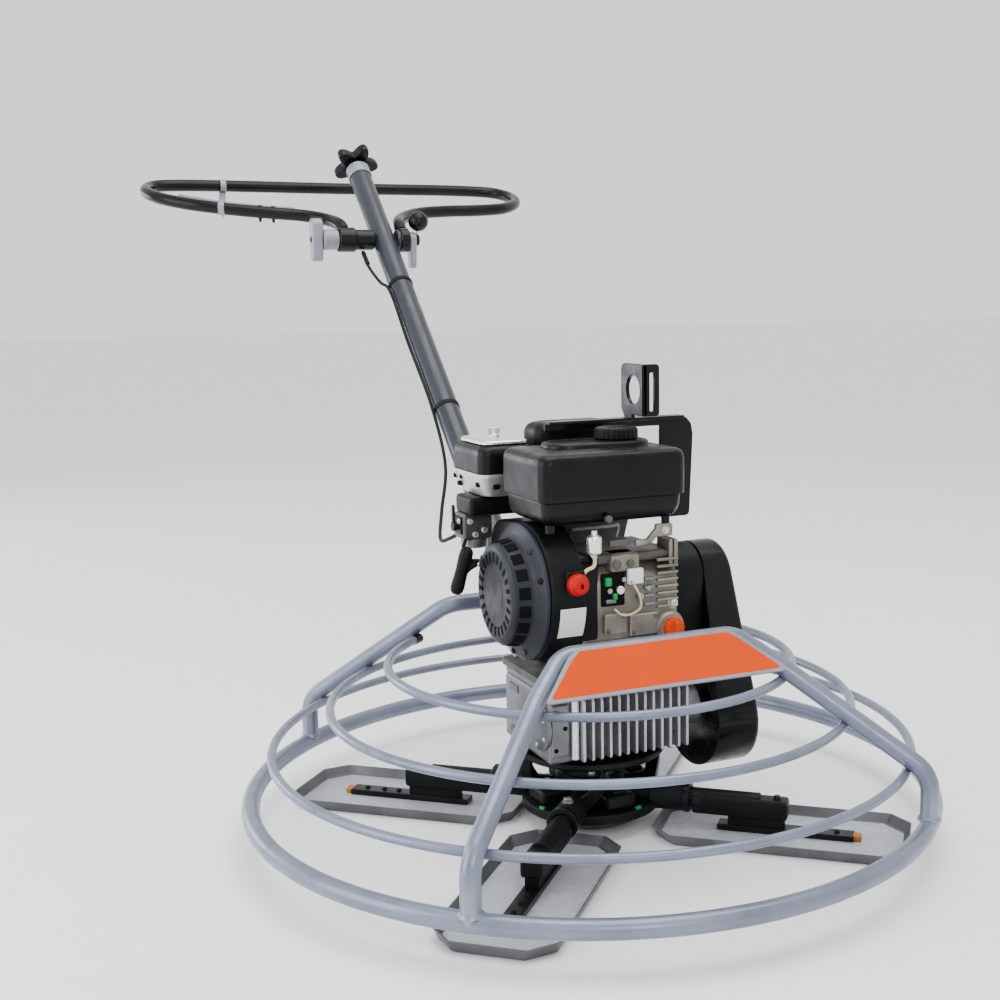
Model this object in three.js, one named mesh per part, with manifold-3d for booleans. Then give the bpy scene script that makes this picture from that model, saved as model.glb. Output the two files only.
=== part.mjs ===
// Walk-behind power trowel: a four-blade rotor under a tubular guard ring, driven by a small petrol
// engine through a belt and a worm gearbox, and steered by a long tilted handle.
// Millimetres, +Z up. The rotor turns about the machine's own Z axis. +X is the belt side, -X the
// starter side, +Y the operator's side. Heights are counted from the middle of the guard ring, and the
// whole machine is lifted at the end so that the blades rest on z = 0.
import * as THREE from "three";
import { mergeVertices } from "three/addons/utils/BufferGeometryUtils.js";
import Module from "manifold-3d";

const wasm = await Module();
wasm.setup();

// ---------------------------------------------------------------- driving dimensions
const GAP = 0.3;
const GUARD_HEIGHT = 58;
const GUARD_RADIUS = 488;
const TUBE_RADIUS = 12.7;
const ROD_RADIUS = 6.35;
const ROD_RINGS = { lower: [456.6, 69.8], middle: [373.5, 127.5], upper: [289.9, 184.2] };
const ARCH_FOOT = { x: 325, y: 364, z: 71 };

const BLADE = { inner: 110, outer: 452, width: 150, thickness: 3, chamfer: 30, lip: 16, flare: 6 };
const BLADE_ANGLES = [-131, -41, 49, 139];
const FLOOR = -GUARD_HEIGHT;
const ARM_Z = -13;
const ARM_RADIUS = 14;
const SOCKET_RADIUS = 21;
const PLATE_RADIUS = 108;
const SHAFT_RADIUS = 17.5;

const HANDLE_FOOT = new THREE.Vector3(0, 123, 88);
const HANDLE_TIP = new THREE.Vector3(0, 1115, 982);
const HANDLE_RADIUS = 22.25;
const HANDLE_BORE = 18.5;
const CROSS = { y: 930, z: 819, radius: 20 };
const GRIP_RADIUS = 12.5;

const CRANK = { y: -25, z: 298 };
const WORM = { y: -51, z: 111, radius: 12.3 };
const WHEEL_RADIUS = 38;
const CRANK_PULLEY = 32;
const WORM_PULLEY = 51;
const BELT_X = [175, 189];
const CYLINDER_TILT = THREE.MathUtils.degToRad(25);

// ---------------------------------------------------------------- solids
const X = new THREE.Vector3(1, 0, 0);
const Y = new THREE.Vector3(0, 1, 0);
const Z = new THREE.Vector3(0, 0, 1);
const IN_YZ = new THREE.Matrix4().makeBasis(Y, Z, X);
const IN_XZ = new THREE.Matrix4().makeBasis(X, Z, Y.clone().negate());
const v = (x, y, z) => new THREE.Vector3(x, y, z);

function solidOf(geometry) {
  const bare = new THREE.BufferGeometry();
  bare.setAttribute("position", geometry.getAttribute("position"));
  bare.setIndex(geometry.index);
  const merged = mergeVertices(bare, 1e-3);
  const source = merged.index.array;
  const faces = [];
  for (let i = 0; i < source.length; i += 3) {
    const [a, b, c] = [source[i], source[i + 1], source[i + 2]];
    if (a !== b && b !== c && c !== a) faces.push(a, b, c);
  }
  const build = (order) =>
    new wasm.Manifold(
      new wasm.Mesh({
        numProp: 3,
        vertProperties: merged.getAttribute("position").array,
        triVerts: new Uint32Array(order),
      }),
    );
  const made = build(faces);
  return made.volume() > 0 ? made : build(faces.reverse());
}

const join = (...solids) => solids.reduce((sum, one) => sum.add(one));
const cut = (solid, ...tools) => tools.reduce((rest, tool) => rest.subtract(tool), solid);

function box([x0, x1], [y0, y1], [z0, z1]) {
  const geometry = new THREE.BoxGeometry(x1 - x0, y1 - y0, z1 - z0);
  geometry.translate((x0 + x1) / 2, (y0 + y1) / 2, (z0 + z1) / 2);
  return solidOf(geometry);
}

// A matrix that takes local +Z to the line from one point towards another.
function along(from, to) {
  const turn = new THREE.Quaternion().setFromUnitVectors(Z, to.clone().sub(from).normalize());
  return new THREE.Matrix4().compose(from, turn, v(1, 1, 1));
}

function rod(from, to, radius, sides = 16) {
  const length = from.distanceTo(to);
  const geometry = new THREE.CylinderGeometry(radius, radius, length, sides);
  geometry.rotateX(Math.PI / 2).translate(0, 0, length / 2);
  return solidOf(geometry.applyMatrix4(along(from, to)));
}

// A turned solid: pairs of radius and height about local +Z, which points from one point to another.
function turned(pairs, from, to, sides = 24) {
  const outline = pairs.map(([r, h]) => new THREE.Vector2(r, h));
  const geometry = new THREE.LatheGeometry(outline, sides).rotateX(Math.PI / 2);
  return solidOf(geometry.applyMatrix4(along(from, to)));
}

// A turned ring with a bore: its profile closes on itself.
function ring(inner, outer, from, to, sides = 24) {
  const length = from.distanceTo(to);
  const profile = [[inner, 0], [outer, 0], [outer, length], [inner, length], [inner, 0]];
  return turned(profile, from, to, sides);
}

function torus(radius, tube, height, around, sides) {
  return solidOf(new THREE.TorusGeometry(radius, tube, sides, around).translate(0, 0, height));
}

function outline(points) {
  return new THREE.Shape(points.map(([a, b]) => new THREE.Vector2(a, b)));
}

function plate(shape, depth, matrix, curveSegments = 8) {
  const geometry = new THREE.ExtrudeGeometry(shape, { depth, bevelEnabled: false, curveSegments });
  return solidOf(geometry.applyMatrix4(matrix));
}

// Outlines in the YZ plane become plates from x0 to x1, and outlines in XZ plates from y0 to y1.
function plateAcrossX(shape, [x0, x1], curveSegments) {
  const matrix = new THREE.Matrix4().makeTranslation(x0, 0, 0).multiply(IN_YZ);
  return plate(shape, x1 - x0, matrix, curveSegments);
}

function plateAcrossY(shape, [y0, y1], curveSegments) {
  const matrix = new THREE.Matrix4().makeTranslation(0, y1, 0).multiply(IN_XZ);
  return plate(shape, y1 - y0, matrix, curveSegments);
}

// The outline of a belt stretched round two circles, the first one above the second.
function beltOutline([a0, b0], r0, [a1, b1], r1) {
  const line = Math.atan2(b0 - b1, a0 - a1);
  const lean = Math.acos((r1 - r0) / Math.hypot(a0 - a1, b0 - b1));
  const shape = new THREE.Shape();
  shape.absarc(a0, b0, r0, line - lean, line + lean, false);
  shape.absarc(a1, b1, r1, line + lean, line - lean + 2 * Math.PI, false);
  return shape;
}

// A centre line of straights and round bends. Its stations sit only where the shape needs them.
class BentLine extends THREE.Curve {
  constructor(corners, radii, stepsPerBend) {
    super();
    this.stations = [{ point: corners[0], tangent: corners[1].clone().sub(corners[0]).normalize() }];
    radii.forEach((radius, i) => this.addBend(corners.slice(i, i + 3), radius, stepsPerBend));
    const last = corners.length - 1;
    const tangent = corners[last].clone().sub(corners[last - 1]).normalize();
    this.stations.push({ point: corners[last], tangent });
  }
  addBend([before, corner, after], radius, steps) {
    const arriving = corner.clone().sub(before).normalize();
    const leaving = after.clone().sub(corner).normalize();
    const turn = arriving.angleTo(leaving);
    const start = corner.clone().addScaledVector(arriving, -radius * Math.tan(turn / 2));
    const side = leaving.clone().addScaledVector(arriving, -leaving.dot(arriving)).normalize();
    for (let i = 0; i <= steps; i++) {
      const angle = (turn * i) / steps;
      const point = start.clone().addScaledVector(arriving, radius * Math.sin(angle));
      point.addScaledVector(side, radius * (1 - Math.cos(angle)));
      const tangent = arriving.clone().multiplyScalar(Math.cos(angle));
      tangent.addScaledVector(side, Math.sin(angle));
      this.stations.push({ point, tangent });
    }
  }
  get steps() {
    return this.stations.length - 1;
  }
  getPoint(t) {
    const at = Math.min(Math.max(t, 0), 1) * this.steps;
    const first = Math.min(Math.floor(at), this.steps - 1);
    return this.stations[first].point.clone().lerp(this.stations[first + 1].point, at - first);
  }
  getPointAt(u) {
    return this.getPoint(u);
  }
  getTangentAt(u) {
    return this.stations[Math.round(u * this.steps)].tangent.clone();
  }
}

function tubeAlong(path, radius, sides, steps = path.steps) {
  // three.js draws a full circle with two points for each curve segment.
  const section = new THREE.Shape().absarc(0, 0, radius, 0, 2 * Math.PI, false);
  const settings = { steps, extrudePath: path, bevelEnabled: false, curveSegments: sides / 2 };
  return solidOf(new THREE.ExtrudeGeometry(section, settings));
}

// ---------------------------------------------------------------- finishes
const finish = (color, roughness, metalness) =>
  new THREE.MeshStandardMaterial({ color, roughness, metalness });
const silverPaint = finish(0xa3aab4, 0.4, 0.3);
const orangePaint = finish(0xfa5f00, 0.45, 0);
const greyPaint = finish(0x4a4f5c, 0.45, 0.2);
const blackPaint = finish(0x16161a, 0.4, 0.1);
const castAluminium = finish(0xb4ada0, 0.5, 0.7);
const steel = finish(0x8d8c88, 0.4, 0.8);
const zinc = finish(0xbdbdb8, 0.35, 0.9);
const blackPlastic = finish(0x1b1b1e, 0.5, 0);
const blackRubber = finish(0x131313, 0.8, 0);
const redPlastic = finish(0xe01020, 0.4, 0);
const orangePlastic = finish(0xf06a10, 0.5, 0);

const machine = new THREE.Group();
function add(name, solid, material) {
  const made = solid.getMesh();
  const geometry = new THREE.BufferGeometry();
  geometry.setAttribute("position", new THREE.BufferAttribute(made.vertProperties, 3));
  geometry.setIndex(new THREE.BufferAttribute(made.triVerts, 1));
  const mesh = new THREE.Mesh(geometry, material);
  mesh.name = name;
  machine.add(mesh);
}

// ---------------------------------------------------------------- guard
function guardRods(spare = 0) {
  const rings = [ROD_RINGS.lower, ROD_RINGS.middle];
  const solids = rings.map(([radius, z]) => torus(radius, ROD_RADIUS + spare, z, 44, 6));
  const [radius, z] = ROD_RINGS.upper;
  const [first, last] = [129, 411].map(THREE.MathUtils.degToRad);
  const steps = 32;
  const stations = Array.from({ length: steps + 1 }, (_, i) => first + ((last - first) * i) / steps);
  const arc = new (class extends THREE.Curve {
    getPoint(t) {
      const angle = stations[0] + (stations[steps] - stations[0]) * t;
      return v(radius * Math.cos(angle), radius * Math.sin(angle), z);
    }
  })();
  solids.push(tubeAlong(arc, ROD_RADIUS + spare, 6, steps));
  return solids;
}

function frontArch(spare = 0) {
  const { x, y, z } = ARCH_FOOT;
  const half = [v(x, -y, 0), v(x, -y, z), v(180, -226, 203.5), v(128, -187.5, 244.5)];
  const mirrored = half.map((p) => v(-p.x, p.y, p.z)).reverse();
  const path = new BentLine([...half, ...mirrored], [45, 80, 40, 40, 80, 45], 4);
  return tubeAlong(path, TUBE_RADIUS + spare, 8);
}

function rearArch(spare = 0) {
  const { x, y, z } = ARCH_FOOT;
  const half = [v(x, y, 0), v(x, y, z), v(148, 192, 240)];
  const mirrored = half.map((p) => v(-p.x, p.y, p.z)).reverse();
  const path = new BentLine([...half, ...mirrored], [45, 40, 40, 45], 4);
  return tubeAlong(path, TUBE_RADIUS + spare, 8);
}

const clearRing = torus(GUARD_RADIUS, TUBE_RADIUS + 2 * GAP, 0, 52, 8);
const clearRods = guardRods(0.5);
const [lowerRod, middleRod, upperRod] = guardRods();
add("guard_ring", torus(GUARD_RADIUS, TUBE_RADIUS, 0, 52, 8), silverPaint);
add("guard_rod_lower", lowerRod, silverPaint);
add("guard_rod_middle", middleRod, silverPaint);
add("guard_rod_upper", upperRod, silverPaint);
add("front_arch", cut(frontArch(), clearRing, ...clearRods), silverPaint);
add("rear_arch", cut(rearArch(), clearRing, ...clearRods), silverPaint);

// The front plate leans back with the arch and lies on its tubes. Its own frame is x, the way up the
// plate, and the way out of its front face.
const PLATE = { foot: v(0, -249, 204), head: v(0, -199, 256), bottom: 179, top: 119, thickness: 3 };
const plateUp = PLATE.head.clone().sub(PLATE.foot).normalize();
const plateOut = X.clone().cross(plateUp);
const plateHeight = PLATE.foot.distanceTo(PLATE.head);
function onPlate(depth) {
  const place = PLATE.foot.clone().addScaledVector(plateOut, depth);
  return new THREE.Matrix4().makeBasis(X, plateUp, plateOut).setPosition(place);
}
const plateOutline = outline([
  [-PLATE.bottom, 0], [PLATE.bottom, 0], [PLATE.top + 9, plateHeight - 11], [PLATE.top - 7, plateHeight],
  [7 - PLATE.top, plateHeight], [-PLATE.top - 9, plateHeight - 11],
]);
add("front_plate", plate(plateOutline, PLATE.thickness, onPlate(-PLATE.thickness)), orangePaint);

// ---------------------------------------------------------------- gearbox
const HOUSING = { x: [-100, 112], y: [-82, 82], z: [60, 158] };
const FIN = { count: 13, first: -55, last: 107, width: 5, reach: 18 };

function gearboxHousing() {
  const shell = box(HOUSING.x, HOUSING.y, HOUSING.z);
  const boss = rod(v(105, WORM.y, WORM.z), v(142, WORM.y, WORM.z), 30);
  const pitch = (FIN.last - FIN.first) / (FIN.count - 1);
  const fins = Array.from({ length: FIN.count }, (_, i) => {
    const x = FIN.first + pitch * i;
    const front = HOUSING.y[0];
    return box([x - FIN.width / 2, x + FIN.width / 2], [front - FIN.reach, front + 1], [64, 156]);
  });
  const cavity = box([-72, 84], [-68, 56], [84, 160]);
  const shaftBore = rod(v(0, 0, 50), v(0, 0, 90), SHAFT_RADIUS + 0.7);
  const wormBore = rod(v(80, WORM.y, WORM.z), v(150, WORM.y, WORM.z), 12);
  const yokeChannel = box([-44, 44], [-46, 90], [50, 78]);
  return cut(join(shell, boss, ...fins), cavity, shaftBore, wormBore, yokeChannel);
}

function wormShaft() {
  const shaft = rod(v(-68, WORM.y, WORM.z), v(198, WORM.y, WORM.z), 9, 16);
  const length = 66;
  const starts = 3;
  const section = outline(
    Array.from({ length: 12 }, (_, i) => {
      const angle = (i / 12) * 2 * Math.PI;
      const radius = WORM.radius - 1.4 + 1.4 * Math.cos(starts * angle);
      return [radius * Math.cos(angle), radius * Math.sin(angle)];
    }),
  );
  const thread = new THREE.ExtrudeGeometry(section, { depth: length, steps: 12, bevelEnabled: false });
  const places = thread.getAttribute("position");
  for (let i = 0; i < places.count; i++) {
    const twist = (places.getZ(i) / length) * 2 * Math.PI;
    const point = v(places.getX(i), places.getY(i), places.getZ(i)).applyAxisAngle(Z, twist);
    places.setXYZ(i, point.x, point.y, point.z);
  }
  const start = v(-length / 2, WORM.y, WORM.z);
  return join(shaft, solidOf(thread.applyMatrix4(along(start, v(0, WORM.y, WORM.z)))));
}

function wormWheel() {
  const teeth = 24;
  const shape = new THREE.Shape();
  for (let i = 0; i < teeth * 4; i++) {
    const angle = (i / (teeth * 4)) * 2 * Math.PI;
    const radius = i % 4 < 2 ? WHEEL_RADIUS : WHEEL_RADIUS - 3;
    const [a, b] = [radius * Math.cos(angle), radius * Math.sin(angle)];
    if (i === 0) shape.moveTo(a, b);
    else shape.lineTo(a, b);
  }
  const depth = 22;
  const blank = plate(shape, depth, new THREE.Matrix4().makeTranslation(0, 0, WORM.z - depth / 2));
  return cut(blank, rod(v(0, 0, 90), v(0, 0, 130), SHAFT_RADIUS + GAP));
}

// The flat steel plate under the engine, with two struts to the front plate and two to the rear arch.
function enginePlate() {
  const flat = box([-104, 118], [-106, 88], [168, 178]);
  const struts = [-78, 78].flatMap((x) => [
    rod(v(x, -99, 175), v(x, -250, 214), 9, 12),
    rod(v(x, 73, 175), v(x, 196, 240), 9, 12),
  ]);
  const beyond = outline([[-120, -90], [120, -90], [120, 120], [-120, 120]]);
  const frontStop = plate(beyond, 90, onPlate(-PLATE.thickness - GAP));
  const below = box([-120, 120], [-120, 120], [140, 168]);
  return cut(join(flat, ...struts), frontStop, below, rearArch(GAP + 0.2));
}

add("gearbox_housing", gearboxHousing(), castAluminium);
add("gearbox_cover", box(HOUSING.x, HOUSING.y, [158.3, 167.7]), castAluminium);
add("engine_plate", enginePlate(), blackPaint);
add("worm_shaft", wormShaft(), steel);
add("worm_wheel", wormWheel(), steel);

// ---------------------------------------------------------------- rotor
const SOCKET = { inner: 40, outer: 150 };
const ARM_BAR_FOOT = -20;
const LEVER = { inner: 76, outer: 94, reach: 45, top: 58 };

function spiderHub() {
  const dish = turned(
    [[0, -50], [70, -50], [101, -32], [101, -20], [50, -12], [50, 20], [0, 20]],
    v(0, 0, 0),
    Z,
    20,
  );
  const sockets = BLADE_ANGLES.map((degrees) => {
    const turn = new THREE.Matrix4().makeRotationZ(THREE.MathUtils.degToRad(degrees));
    const ends = [SOCKET.inner, SOCKET.outer].map((r) => v(r, 0, ARM_Z).applyMatrix4(turn));
    return rod(...ends, SOCKET_RADIUS, 12);
  });
  const bores = BLADE_ANGLES.map((degrees) => {
    const turn = new THREE.Matrix4().makeRotationZ(THREE.MathUtils.degToRad(degrees));
    const ends = [54, 160].map((r) => v(r, 0, ARM_Z).applyMatrix4(turn));
    return rod(...ends, ARM_RADIUS + 0.5, 12);
  });
  const windows = BLADE_ANGLES.map((degrees) => {
    const geometry = new THREE.BoxGeometry(36, 74, 120).translate(86, 33, 0);
    return solidOf(geometry.rotateZ(THREE.MathUtils.degToRad(degrees)));
  });
  const shaftBore = rod(v(0, 0, -60), v(0, 0, 30), SHAFT_RADIUS + GAP);
  return cut(join(dish, ...sockets), ...bores, ...windows, shaftBore);
}

// An arm lies along its own local +X, with its pitch lever on the side that follows it round.
function trowelArm() {
  const shaft = rod(v(58, 0, 0), v(250, 0, 0), ARM_RADIUS, 12);
  const bar = box([153, 290], [-15, 15], [ARM_BAR_FOOT, 8]);
  const side = outline([
    [-4, -9], [10, -12], [26, 4], [LEVER.reach + 5, LEVER.top - 22], [LEVER.reach + 3, LEVER.top - 2],
    [LEVER.reach, LEVER.top], [LEVER.reach - 4, LEVER.top - 2], [LEVER.reach - 8, LEVER.top - 18], [4, 12],
  ]);
  const lever = plateAcrossX(side, [LEVER.inner, LEVER.outer]);
  return join(shaft, bar, lever);
}

function bladeBar() {
  const underside = FLOOR + BLADE.thickness + GAP - ARM_Z;
  const top = ARM_BAR_FOOT - GAP;
  const web = box([205, 285], [-10, 10], [underside, top]);
  const foot = box([190, 392], [-12.5, 12.5], [underside, underside + 9]);
  return join(web, foot);
}

// A blade is a shallow tray: its edges turn up and flare outwards.
function bladeOutline(spread) {
  const half = BLADE.width / 2 + spread;
  const [inner, outer] = [BLADE.inner - spread, BLADE.outer + spread];
  const c = BLADE.chamfer;
  return [
    [inner, c - half], [inner + c, -half], [outer - c, -half], [outer, c - half],
    [outer, half - c], [outer - c, half], [inner + c, half], [inner, half - c],
  ];
}

function flared(spread, z0, z1) {
  const [low, high] = [bladeOutline(spread), bladeOutline(spread + BLADE.flare)];
  const geometry = new THREE.ExtrudeGeometry(outline(low), { depth: 1, bevelEnabled: false });
  const places = geometry.getAttribute("position");
  for (let i = 0; i < places.count; i++) {
    const corner = low.findIndex(([a, b]) => Math.hypot(a - places.getX(i), b - places.getY(i)) < 1e-3);
    if (places.getZ(i) > 0.5) places.setXYZ(i, ...high[corner], z1);
    else places.setZ(i, z0);
  }
  return solidOf(geometry);
}

function blade() {
  const { thickness, lip } = BLADE;
  const bottom = FLOOR - ARM_Z;
  const tray = flared(0, bottom, bottom + lip);
  const inside = flared(-2, bottom + thickness, bottom + lip + 0.1);
  return cut(tray, inside);
}

function turnedBy(solid, degrees) {
  const made = solid.getMesh();
  const geometry = new THREE.BufferGeometry();
  geometry.setAttribute("position", new THREE.BufferAttribute(made.vertProperties, 3));
  geometry.setIndex(new THREE.BufferAttribute(made.triVerts, 1));
  geometry.rotateZ(THREE.MathUtils.degToRad(degrees)).translate(0, 0, ARM_Z);
  return solidOf(geometry);
}

add("output_shaft", rod(v(0, 0, -37), v(0, 0, 130), SHAFT_RADIUS), steel);
add("spider_hub", spiderHub(), blackPaint);
BLADE_ANGLES.forEach((degrees, i) => {
  add("trowel_arm_" + (i + 1), turnedBy(trowelArm(), degrees), blackPaint);
  add("blade_bar_" + (i + 1), turnedBy(bladeBar(), degrees), blackPaint);
  add("blade_" + (i + 1), turnedBy(blade(), degrees), steel);
});

// ---------------------------------------------------------------- blade pitch control
const YOKE_PIVOT = { y: 95, z: 70 };

add(
  "pressure_plate",
  turned(
    [[18.5, 46.5], [98, 46.5], [PLATE_RADIUS, 50], [PLATE_RADIUS, 58], [102, 58], [96, 50.5],
      [18.5, 50.5], [18.5, 46.5]],
    v(0, 0, 0),
    Z,
    28,
  ),
  blackPaint,
);
add("thrust_collar", ring(18.5, 34, v(0, 0, 51), v(0, 0, 59)), steel);

function pitchYoke() {
  const side = outline([
    [-14, 62], [-5, 62], [-5, 59.7], [5, 59.7], [5, 62], [86, 62], [104, 66], [104, 76], [86, 76], [70, 70],
    [-14, 70],
  ]);
  const tines = [[-34, -22], [22, 34]].map((span) => plateAcrossX(side, span));
  const bridge = box([-34, 34], [84, 103], [64, 76]);
  const pin = rod(v(-40, YOKE_PIVOT.y, YOKE_PIVOT.z), v(40, YOKE_PIVOT.y, YOKE_PIVOT.z), 6, 16);
  const pull = plateAcrossX(outline([[92, 74], [102, 74], [108, 86], [102, 90]]), [-6, 6]);
  return join(...tines, bridge, pin, pull);
}
add("pitch_yoke", pitchYoke(), steel);

const up = HANDLE_TIP.clone().sub(HANDLE_FOOT).normalize();
const onHandle = (s) => HANDLE_FOOT.clone().addScaledVector(up, s);
const HANDLE_LENGTH = 1318;

add("pull_rod", rod(onHandle(22), onHandle(1288), 4, 10), steel);

function pitchKnob() {
  const lobes = 5;
  const shape = outline(
    Array.from({ length: 30 }, (_, i) => {
      const angle = (i / 30) * 2 * Math.PI;
      const radius = 38 + 10 * Math.cos(lobes * angle);
      return [radius * Math.cos(angle), radius * Math.sin(angle)];
    }),
  );
  const star = plate(shape, 22, along(onHandle(1326), onHandle(1340)));
  return join(star, rod(onHandle(HANDLE_LENGTH + GAP), onHandle(1330), 17));
}
add("pitch_knob", pitchKnob(), blackPlastic);

// ---------------------------------------------------------------- handle
function handleBase() {
  const block = box([-60, 60], [82.3, 160], [60, 150]);
  const collar = rod(onHandle(20), onHandle(92), 32, 20);
  const bore = rod(onHandle(-12), onHandle(120), HANDLE_RADIUS + GAP, 20);
  const slot = box([-41, 41], [80, 118], [50, 100]);
  return cut(join(block, collar), bore, slot);
}
const crossAt = (x) => v(x, CROSS.y, CROSS.z);

function handleTube() {
  const tube = ring(HANDLE_BORE, HANDLE_RADIUS, onHandle(0), onHandle(HANDLE_LENGTH), 20);
  return cut(tube, rod(crossAt(-60), crossAt(60), 10 + GAP, 20));
}

// The cross sleeve is thick on each side of the handle and passes through it as a thinner spigot.
function crossSleeve() {
  const wall = ring(HANDLE_RADIUS - 3, HANDLE_RADIUS + GAP, onHandle(1000), onHandle(1180), 20);
  const clearWall = cut(wall, rod(crossAt(-60), crossAt(60), 10.05, 20));
  const left = rod(crossAt(-126), crossAt(-23.5), CROSS.radius, 20);
  const right = rod(crossAt(23.5), crossAt(50), CROSS.radius, 20);
  const spigot = rod(crossAt(-30), crossAt(30), 10, 20);
  const clearRod = rod(onHandle(1040), onHandle(1140), 5, 12);
  return cut(join(left, right, spigot), clearRod, clearWall);
}

add("handle_base", handleBase(), castAluminium);
add("handle_tube", handleTube(), greyPaint);
add("cross_sleeve", crossSleeve(), greyPaint);

// The handlebar is a flat loop that slopes up towards the operator.
const LOOP_SLOPE = 0.289;
const loopPoint = (x, y) => v(x, y, 840 + (y - CROSS.y) * LOOP_SLOPE);
const loopNormal = v(0, -LOOP_SLOPE, 1).normalize();
const loopPoints = [
  v(-78, 944, 836), v(-80, 962, 849), loopPoint(-94, 1004), loopPoint(-134, 1038),
  loopPoint(-202, 1060), loopPoint(-280, 1090), loopPoint(-352, 1132), loopPoint(-398, 1184),
  loopPoint(-410, 1240), loopPoint(-388, 1284), loopPoint(-330, 1300), loopPoint(0, 1300),
  loopPoint(322, 1300), loopPoint(378, 1284), loopPoint(400, 1240), loopPoint(388, 1184),
  loopPoint(338, 1130), loopPoint(266, 1106), loopPoint(190, 1094), loopPoint(116, 1068),
  loopPoint(60, 1010), v(43, 962, 849), v(40, 944, 836),
];
const DEADMAN_PIVOT = loopPoint(-150, 1084);

function handlebar() {
  const path = new THREE.CatmullRomCurve3(loopPoints, false, "centripetal");
  const loop = tubeAlong(path, GRIP_RADIUS, 8, 44);
  const hubs = [[-95, -61], [30, 48]].map(([a, b]) => rod(crossAt(a), crossAt(b), CROSS.radius + 4, 20));
  const lug = rod(loopPoint(-150, 1046), DEADMAN_PIVOT, 6, 8);
  const clearLever = rod(
    DEADMAN_PIVOT.clone().addScaledVector(loopNormal, -7),
    DEADMAN_PIVOT.clone().addScaledVector(loopNormal, 7),
    10,
    16,
  );
  return cut(join(loop, ...hubs, lug), clearLever, rod(crossAt(-140), crossAt(60), CROSS.radius + 0.4, 20));
}

function deadmanLever() {
  const hub = rod(
    DEADMAN_PIVOT.clone().addScaledVector(loopNormal, -6),
    DEADMAN_PIVOT.clone().addScaledVector(loopNormal, 6),
    9,
    16,
  );
  const path = new BentLine(
    [DEADMAN_PIVOT.clone(), loopPoint(-215, 1104), loopPoint(-300, 1146), loopPoint(-352, 1190)],
    [120, 120],
    4,
  );
  return join(hub, tubeAlong(path, 6, 8));
}

add("handlebar", handlebar(), blackPaint);
add("deadman_lever", deadmanLever(), zinc);

// A clamp wing: a lever across the end of the sleeve, longer below than above.
function clampWing(span, above, below, halfWidth) {
  const shape = new THREE.Shape();
  shape.absarc(CROSS.y, CROSS.z + above - halfWidth, halfWidth, 0, Math.PI, false);
  shape.absarc(CROSS.y, CROSS.z - below + halfWidth * 0.7, halfWidth * 0.7, Math.PI, 2 * Math.PI, false);
  return plateAcrossX(shape, span, 6);
}
add("clamp_wing_left", clampWing([-148, -126.5], 41, 42, 15), zinc);
add("clamp_wing_right", clampWing([50.5, 64], 16, 56, 15), zinc);

function throttleLever() {
  const hub = rod(crossAt(64.5), crossAt(71), 11, 20);
  const stem = rod(v(68, CROSS.y, CROSS.z), v(71, CROSS.y, CROSS.z + 30), 3.2, 10);
  const ball = new THREE.SphereGeometry(20, 12, 8).rotateX(Math.PI / 2);
  return join(hub, stem, solidOf(ball.translate(72, CROSS.y, CROSS.z + 37)));
}
add("throttle_lever", throttleLever(), blackPlastic);

// The control cable is clipped along the handle's left side and ends at the carburettor.
const besideHandle = (s) => onHandle(s).add(v(-27, 0, 0));
const cablePoints = [
  v(-46, 926, 796), v(-44, 896, 766), v(-32, 858, 734), besideHandle(950), besideHandle(800),
  besideHandle(620), v(-36, 500, 415), v(-80, 400, 350), v(-118, 300, 322), v(-132, 220, 336),
  v(-130, 152.5, 360),
];
add(
  "throttle_cable",
  tubeAlong(new THREE.CatmullRomCurve3(cablePoints, false, "centripetal"), 3, 6, 32),
  blackRubber,
);

// ---------------------------------------------------------------- engine
const crankAt = (x) => v(x, CRANK.y, CRANK.z);
const tilted = (geometry) =>
  solidOf(geometry.rotateX(CYLINDER_TILT).translate(0, CRANK.y, CRANK.z));
const tiltedBox = ([x0, x1], [d0, d1], [h0, h1]) =>
  tilted(
    new THREE.BoxGeometry(x1 - x0, d1 - d0, h1 - h0)
      .translate((x0 + x1) / 2, (d0 + d1) / 2, (h0 + h1) / 2),
  );
const CASE_X = [-54, 94];
const OIL_X = 79;

function crankcase() {
  const side = outline([
    [-95, 178.3], [62, 178.3], [62, 196], [48, 206], [48, 320], [30, 346], [-66, 346], [-95, 318],
  ]);
  const block = plateAcrossX(side, CASE_X);
  const adapter = plateAcrossX(beltOutline([CRANK.y, CRANK.z], 49, [-22, 222], 42), [92, 149.5]);
  const filler = rod(v(OIL_X, -90, 243), v(OIL_X, -104, 243), 13, 16);
  return cut(join(block, adapter, filler), rod(crankAt(-70), crankAt(160), 11.8, 24));
}

function cylinder() {
  const barrel = tiltedBox([-10, 78], [62, 158], [-38, 38]);
  const fins = Array.from({ length: 7 }, (_, i) => {
    const foot = 94 + 10 * i;
    return tiltedBox([-20, 88], [foot, foot + 4], [-46, 46]);
  });
  const clearCase = box([-60, 140], [-100, 48 + GAP], [170, 346 + GAP]);
  const rockerCover = tiltedBox([-14, 82], [157, 186], [-40, 40]);
  return cut(join(barrel, rockerCover, ...fins), clearCase);
}

add("crankcase", crankcase(), castAluminium);
add("cylinder", cylinder(), castAluminium);

function crankshaft() {
  const shaft = rod(crankAt(-104), crankAt(193), 11, 12);
  const flywheel = rod(crankAt(-74), crankAt(-66), 84, 20);
  const vanes = Array.from({ length: 12 }, (_, i) => {
    const geometry = new THREE.BoxGeometry(20, 4, 34).translate(-84, 0, 64);
    return solidOf(geometry.rotateX((i / 12) * 2 * Math.PI).translate(0, CRANK.y, CRANK.z));
  });
  return join(shaft, flywheel, ...vanes);
}
add("crankshaft", crankshaft(), steel);

const BLOWER = { x: [-112, -60], radius: 97, duct: [54, 344], ductRadius: 44 };

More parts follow.
